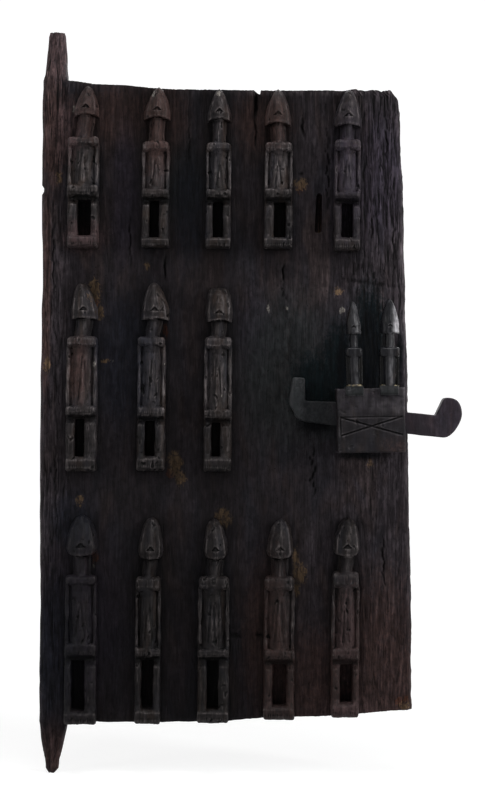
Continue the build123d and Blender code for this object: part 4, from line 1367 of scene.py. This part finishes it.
# Two small figures in the round, on the housing's plinths. Levels: foot, armpits, shoulders, chin, crown.
lockFigures = {
    "left": {"node": "lock_figure_left", "x": 298.6, "trunk": 11.0, "shoulder": 16.4, "neck": 7.9,
             "head": 15.0, "levels": (386.9, 414.6, 424.6, 437.4, 469.8), "lean": -2.4,
             "trunkLight": 0.09, "headLight": 0.13, "headSide": (-4.0, 2.0)},
    "right": {"node": "lock_figure_right", "x": 332.6, "trunk": 12.8, "shoulder": 19.5, "neck": 9.2,
              "head": 19.4, "levels": (386.9, 415.0, 424.9, 438.2, 472.6), "lean": -0.4,
              "trunkLight": 0.34, "headLight": 0.95, "headSide": (2.0, 4.8)},
}
lockForm = {"voxel": 0.42, "noseHeight": 0.27, "noseDeep": 1.6, "uneven": 0.3, "fibre": 0.08}
# half width of their heads up the height
lockHead = ((0, 0.94), (0.05, 1.0), (0.12, 0.95), (0.28, 0.97), (0.5, 0.83), (0.75, 0.57), (0.92, 0.32),
            (1, 0.04))


def roundHead(x, middle, width, depth, chin, tip):
    # an upright drum, drawn in to a point, with a keel down its front
    head = column(x, middle, width, depth, chin, tip, 1.0, 56)
    bpy.ops.object.mode_set(mode="EDIT")
    bpy.ops.mesh.select_mode(type="EDGE")
    splitEdges(2, 31)
    bpy.ops.object.mode_set(mode="OBJECT")
    points = readPoints(head)
    rise = np.clip((points[:, 2] - chin) / (tip - chin), 0, 1)
    shrink = along(lockHead, rise)
    points[:, 0] = x + (points[:, 0] - x) * shrink
    keel = 1 + 0.14 * np.exp(-(((points[:, 0] - x) / 1.5) ** 2)) * (points[:, 1] < -middle)
    points[:, 1] = -middle + (points[:, 1] + middle) * shrink * keel
    writePoints(head, points)
    return head


def buildLockFigure(name, sizes, seed):
    low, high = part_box(sizes["node"])
    base, armpit, shoulder, chin, tip = sizes["levels"]
    middle = -(low.y + high.y) / 2 / mm
    depth = (high.y - low.y) / mm
    x, wide = sizes["x"], sizes["shoulder"]
    parts = [
        column(x, middle, 4.9, 4.9, base - 7.7, base + 3),
        column(x, middle, sizes["trunk"], depth - 2, base, armpit + 2, 1.08),
        block(x, wide, middle - depth / 2, middle + depth / 2, armpit, shoulder, 3.2, 5),
        column(x, middle, sizes["neck"], sizes["neck"] * 1.1, shoulder - 3, chin + 4),
        roundHead(x, middle, sizes["head"], depth * 0.98, chin, tip),
    ]
    for side in (-1, 1):
        arm = x + side * (wide - 3.4) / 2
        parts.append(block(arm, 3.2, middle - 4, middle + 3.4, base, armpit + 3, 1.0, 3))
        parts.append(block(arm - side * 1.8, 4.5, middle - 2.5, middle + 1.5, base, armpit + 3, 0.8))
    piece = fused(joined("lockFigure_" + name, *parts), lockForm["voxel"], 2)
    points = readPoints(piece)
    height = points[:, 2].copy()
    lean = sizes["lean"] * np.clip((height - base) / (tip - base), 0, 1)
    nose = chin + lockForm["noseHeight"] * (tip - chin)
    drop = nose - height
    notch = smoothStep(drop, -0.2, 0.3) * (1 - smoothStep(drop, 2.2, 2.9))
    notch *= 1 - smoothStep(np.abs(points[:, 0] - x) - 0.4 - 0.8 * np.clip(drop, 0, 3), -0.5, 0.4)
    notch *= points[:, 1] < -middle - 2
    groove = np.exp(-((np.abs(np.abs(points[:, 0] - x) - sizes["trunk"] / 2 - 0.2) / 0.7) ** 2))
    groove *= smoothStep(height, base, base + 3) * (1 - smoothStep(height, armpit - 2, armpit))
    points[:, 1] += lockForm["noseDeep"] * notch
    uneven = lockForm["uneven"] * roughness(points, (6, 6, 9), seed, 2)
    uneven += lockForm["fibre"] * roughness(points, (1.6, 2, 12), seed + 1, 2)
    points += readNormals(piece) * uneven[:, None]
    points[:, 0] += lean
    for axis in range(3):
        points[:, axis] = np.clip(points[:, axis], low[axis] / mm, high[axis] / mm)
    writePoints(piece, points)

    # painted shade in the grooves, the hollows and under the nose; painted highlights on the trunk's
    # middle and one side of the head
    bulge = convexity(piece, points, readNormals(piece), 10)
    groove *= points[:, 1] < -middle
    paint(piece, "dirtAndShade", np.maximum.reduce([notch, smoothStep(-bulge, 0.03, 0.3), 0.7 * groove]))
    offset = points[:, 0] - x - lean
    arms = smoothStep(np.abs(offset), wide / 2 - 4.5, wide / 2 - 3)
    arms = arms * (1 - smoothStep(height, armpit, armpit + 2))
    inHead, front = smoothStep(height, chin, chin + 2), points[:, 1] < -middle - 1
    onTrunk = 0.4 + 0.6 * (1 - smoothStep(height, armpit - 2, armpit))
    onSide = smoothStep(offset, *sizes["headSide"]) * (1 - smoothStep(height, tip - 4, tip))
    light = sizes["trunkLight"] * onTrunk * np.exp(-(((offset - 0.8) / 1.7) ** 2)) * (1 - inHead)
    light += sizes["headLight"] * inHead * onSide
    light *= front * (1 - arms) * (0.75 + 0.8 * roughness(points, (3, 5, 7), seed + 7, 2))
    paint(piece, "wearAndHighlight", np.maximum(0.2 * smoothStep(bulge, 0.05, 0.35) * (1 - 0.8 * arms), light))
    # the arms painted darker
    paint(piece, "smokeAndShade", 0.75 * arms)
    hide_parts(sizes["node"])
    return finish(piece, polishedWood)


resinRing = {"depth": 11.5, "height": 7, "front": -58.9, "uneven": 0.5}


def buildResin(name, sizes, seed):
    # old resin, squeezed out round a figure's foot
    low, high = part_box(sizes["node"])
    y = (low.y + high.y) / 2 / mm
    bpy.ops.mesh.primitive_torus_add(
        location=(sizes["x"] * mm, y * mm, sizes["levels"][0] * mm), major_radius=1, minor_radius=0.16,
        major_segments=72, minor_segments=14,
    )
    piece = bpy.context.object
    piece.scale = (
        (sizes["shoulder"] - 3) / 2 * mm, resinRing["depth"] / 2 * mm, resinRing["height"] * mm,
    )
    settle(piece)
    piece = joined(name, piece)
    points = readPoints(piece)
    lumps = resinRing["uneven"] * roughness(points, (2.5, 2.5, 2.5), seed, 3)
    points += readNormals(piece) * lumps[:, None]
    points[:, 2] += resinRing["uneven"] * roughness(points, (5, 5, 90), seed + 3, 2)
    points[:, 1] = np.maximum(points[:, 1], resinRing["front"])
    writePoints(piece, points)
    return finish(piece, resin)


for seed, (name, sizes) in enumerate(lockFigures.items()):
    buildLockFigure(name, sizes, 51 + 4 * seed)
    buildResin("resin_" + name, sizes, 61 + seed)

for name in ("tumbler_left", "tumbler_middle", "tumbler_right"):
    tumbler = frame["nodes"][name]
    tumbler.data.materials.clear()
    tumbler.data.materials.append(iron)
print("lock built")


# Floor, backdrop, light and camera
studio = {
    "size": 12,  # metres
    "middle": (0.19, 0, 0.37),
    "floor": -4.2,
    "backdrop": 5500.0,
    "lookX": 189.4,
    "lookZ": 372.0,
    "distance": 1912.0,
    "roll": 0.457,
    "seenHeight": 800.0,  # millimetres of the plank's face that fill the picture's height
    "worldLight": 0.12,
    "floorGlow": 0.82,
    "shadowReach": (0.5, 1.8),  # metres from the door over which the floor turns plain white
}
lamps = {
    "topLight": {"place": (0.25, -0.70, 1.85), "size": (1.0, 0.3), "power": 16},
    "leftLight": {"place": (-1.1, -0.8, 0.7), "size": (0.4, 0.9), "power": 4.5},
    "rightLight": {"place": (1.5, -0.75, 0.8), "size": (0.3, 0.8), "power": 15},
    "backLight": {"place": (0.5, 1.4, 1.3), "size": (1.0, 0.6), "power": 9},
}


def backgroundRays(tree):
    # the camera's rays, and those of reflections and of glass
    path = addNode(tree, "ShaderNodeLightPath")
    seen = calc(tree, "MAXIMUM", path.outputs["Is Camera Ray"], path.outputs["Is Glossy Ray"])
    return calc(tree, "MAXIMUM", seen, path.outputs["Is Transmission Ray"])


def paleStage(name, near):
    # plain pale to most light; white to the camera and in reflections, with shadows near its middle
    material, tree = newMaterial(name)
    place = addNode(tree, "ShaderNodeTexCoord").outputs["Object"]
    away = addNode(tree, "ShaderNodeVectorMath", {0: place}, operation="LENGTH").outputs["Value"]
    glow = ramp(tree, away, *studio["shadowReach"], (near, 1.0))
    white = addNode(tree, "ShaderNodeEmission", {"Color": color(1, 1, 1), "Strength": glow})
    dim = addNode(tree, "ShaderNodeBsdfDiffuse", {"Color": color(0.3, 0.3, 0.3)})
    bright = addNode(tree, "ShaderNodeAddShader", {0: white.outputs[0], 1: dim.outputs[0]})
    plain = addNode(tree, "ShaderNodeBsdfDiffuse", {"Color": color(0.75, 0.75, 0.75)})
    seen = backgroundRays(tree)
    mixed = addNode(tree, "ShaderNodeMixShader", {0: seen, 1: plain.outputs[0], 2: bright.outputs[0]})
    addNode(tree, "ShaderNodeOutputMaterial", {"Surface": mixed.outputs[0]})
    return material


def buildStage():
    size, middle = studio["size"], studio["middle"][0]
    bpy.ops.mesh.primitive_plane_add(size=size, location=(middle, 0, studio["floor"] * mm))
    floor = bpy.context.object
    floor.name = "floor"
    bpy.ops.mesh.primitive_plane_add(
        size=size, location=(middle, studio["backdrop"] * mm, 0.4), rotation=(math.radians(90), 0, 0),
    )
    backdrop = bpy.context.object
    backdrop.name = "backdrop"
    for thing, near in ((floor, studio["floorGlow"]), (backdrop, 1.0)):
        thing.data.materials.append(paleStage(thing.name + "White", near))


def addLamp(name, place, size, power):
    light = bpy.data.lights.new(name, "AREA")
    light.shape = "RECTANGLE"
    light.size, light.size_y = size
    light.energy = power
    lamp = bpy.data.objects.new(name, light)
    bpy.context.scene.collection.objects.link(lamp)
    lamp.location = place
    towards = Vector(studio["middle"]) - Vector(place)
    lamp.rotation_euler = towards.to_track_quat("-Z", "Y").to_euler()


def buildWorld():
    world = bpy.data.worlds.new("studio")
    bpy.context.scene.world = world
    world.use_nodes = True
    tree = world.node_tree
    tree.nodes.clear()
    strength = ramp(tree, backgroundRays(tree), 0, 1, (studio["worldLight"], 1.0))
    background = addNode(tree, "ShaderNodeBackground", {"Color": color(1, 1, 1), "Strength": strength})
    addNode(tree, "ShaderNodeOutputWorld", {"Surface": background.outputs[0]})


buildStage()
buildWorld()
for name, lamp in lamps.items():
    addLamp(name, **lamp)

camera = bpy.data.objects.new("camera", bpy.data.cameras.new("camera"))
bpy.context.scene.collection.objects.link(camera)
bpy.context.scene.camera = camera
camera.location = (studio["lookX"] * mm, -studio["distance"] * mm, studio["lookZ"] * mm)
camera.rotation_euler = (math.radians(90), -math.radians(studio["roll"]), 0)
faceDistance = studio["distance"] - plank["thickness"] / 2
camera.data.lens = camera.data.sensor_width * faceDistance / studio["seenHeight"]
bpy.context.scene.view_settings.view_transform = "Standard"
print("studio ready")
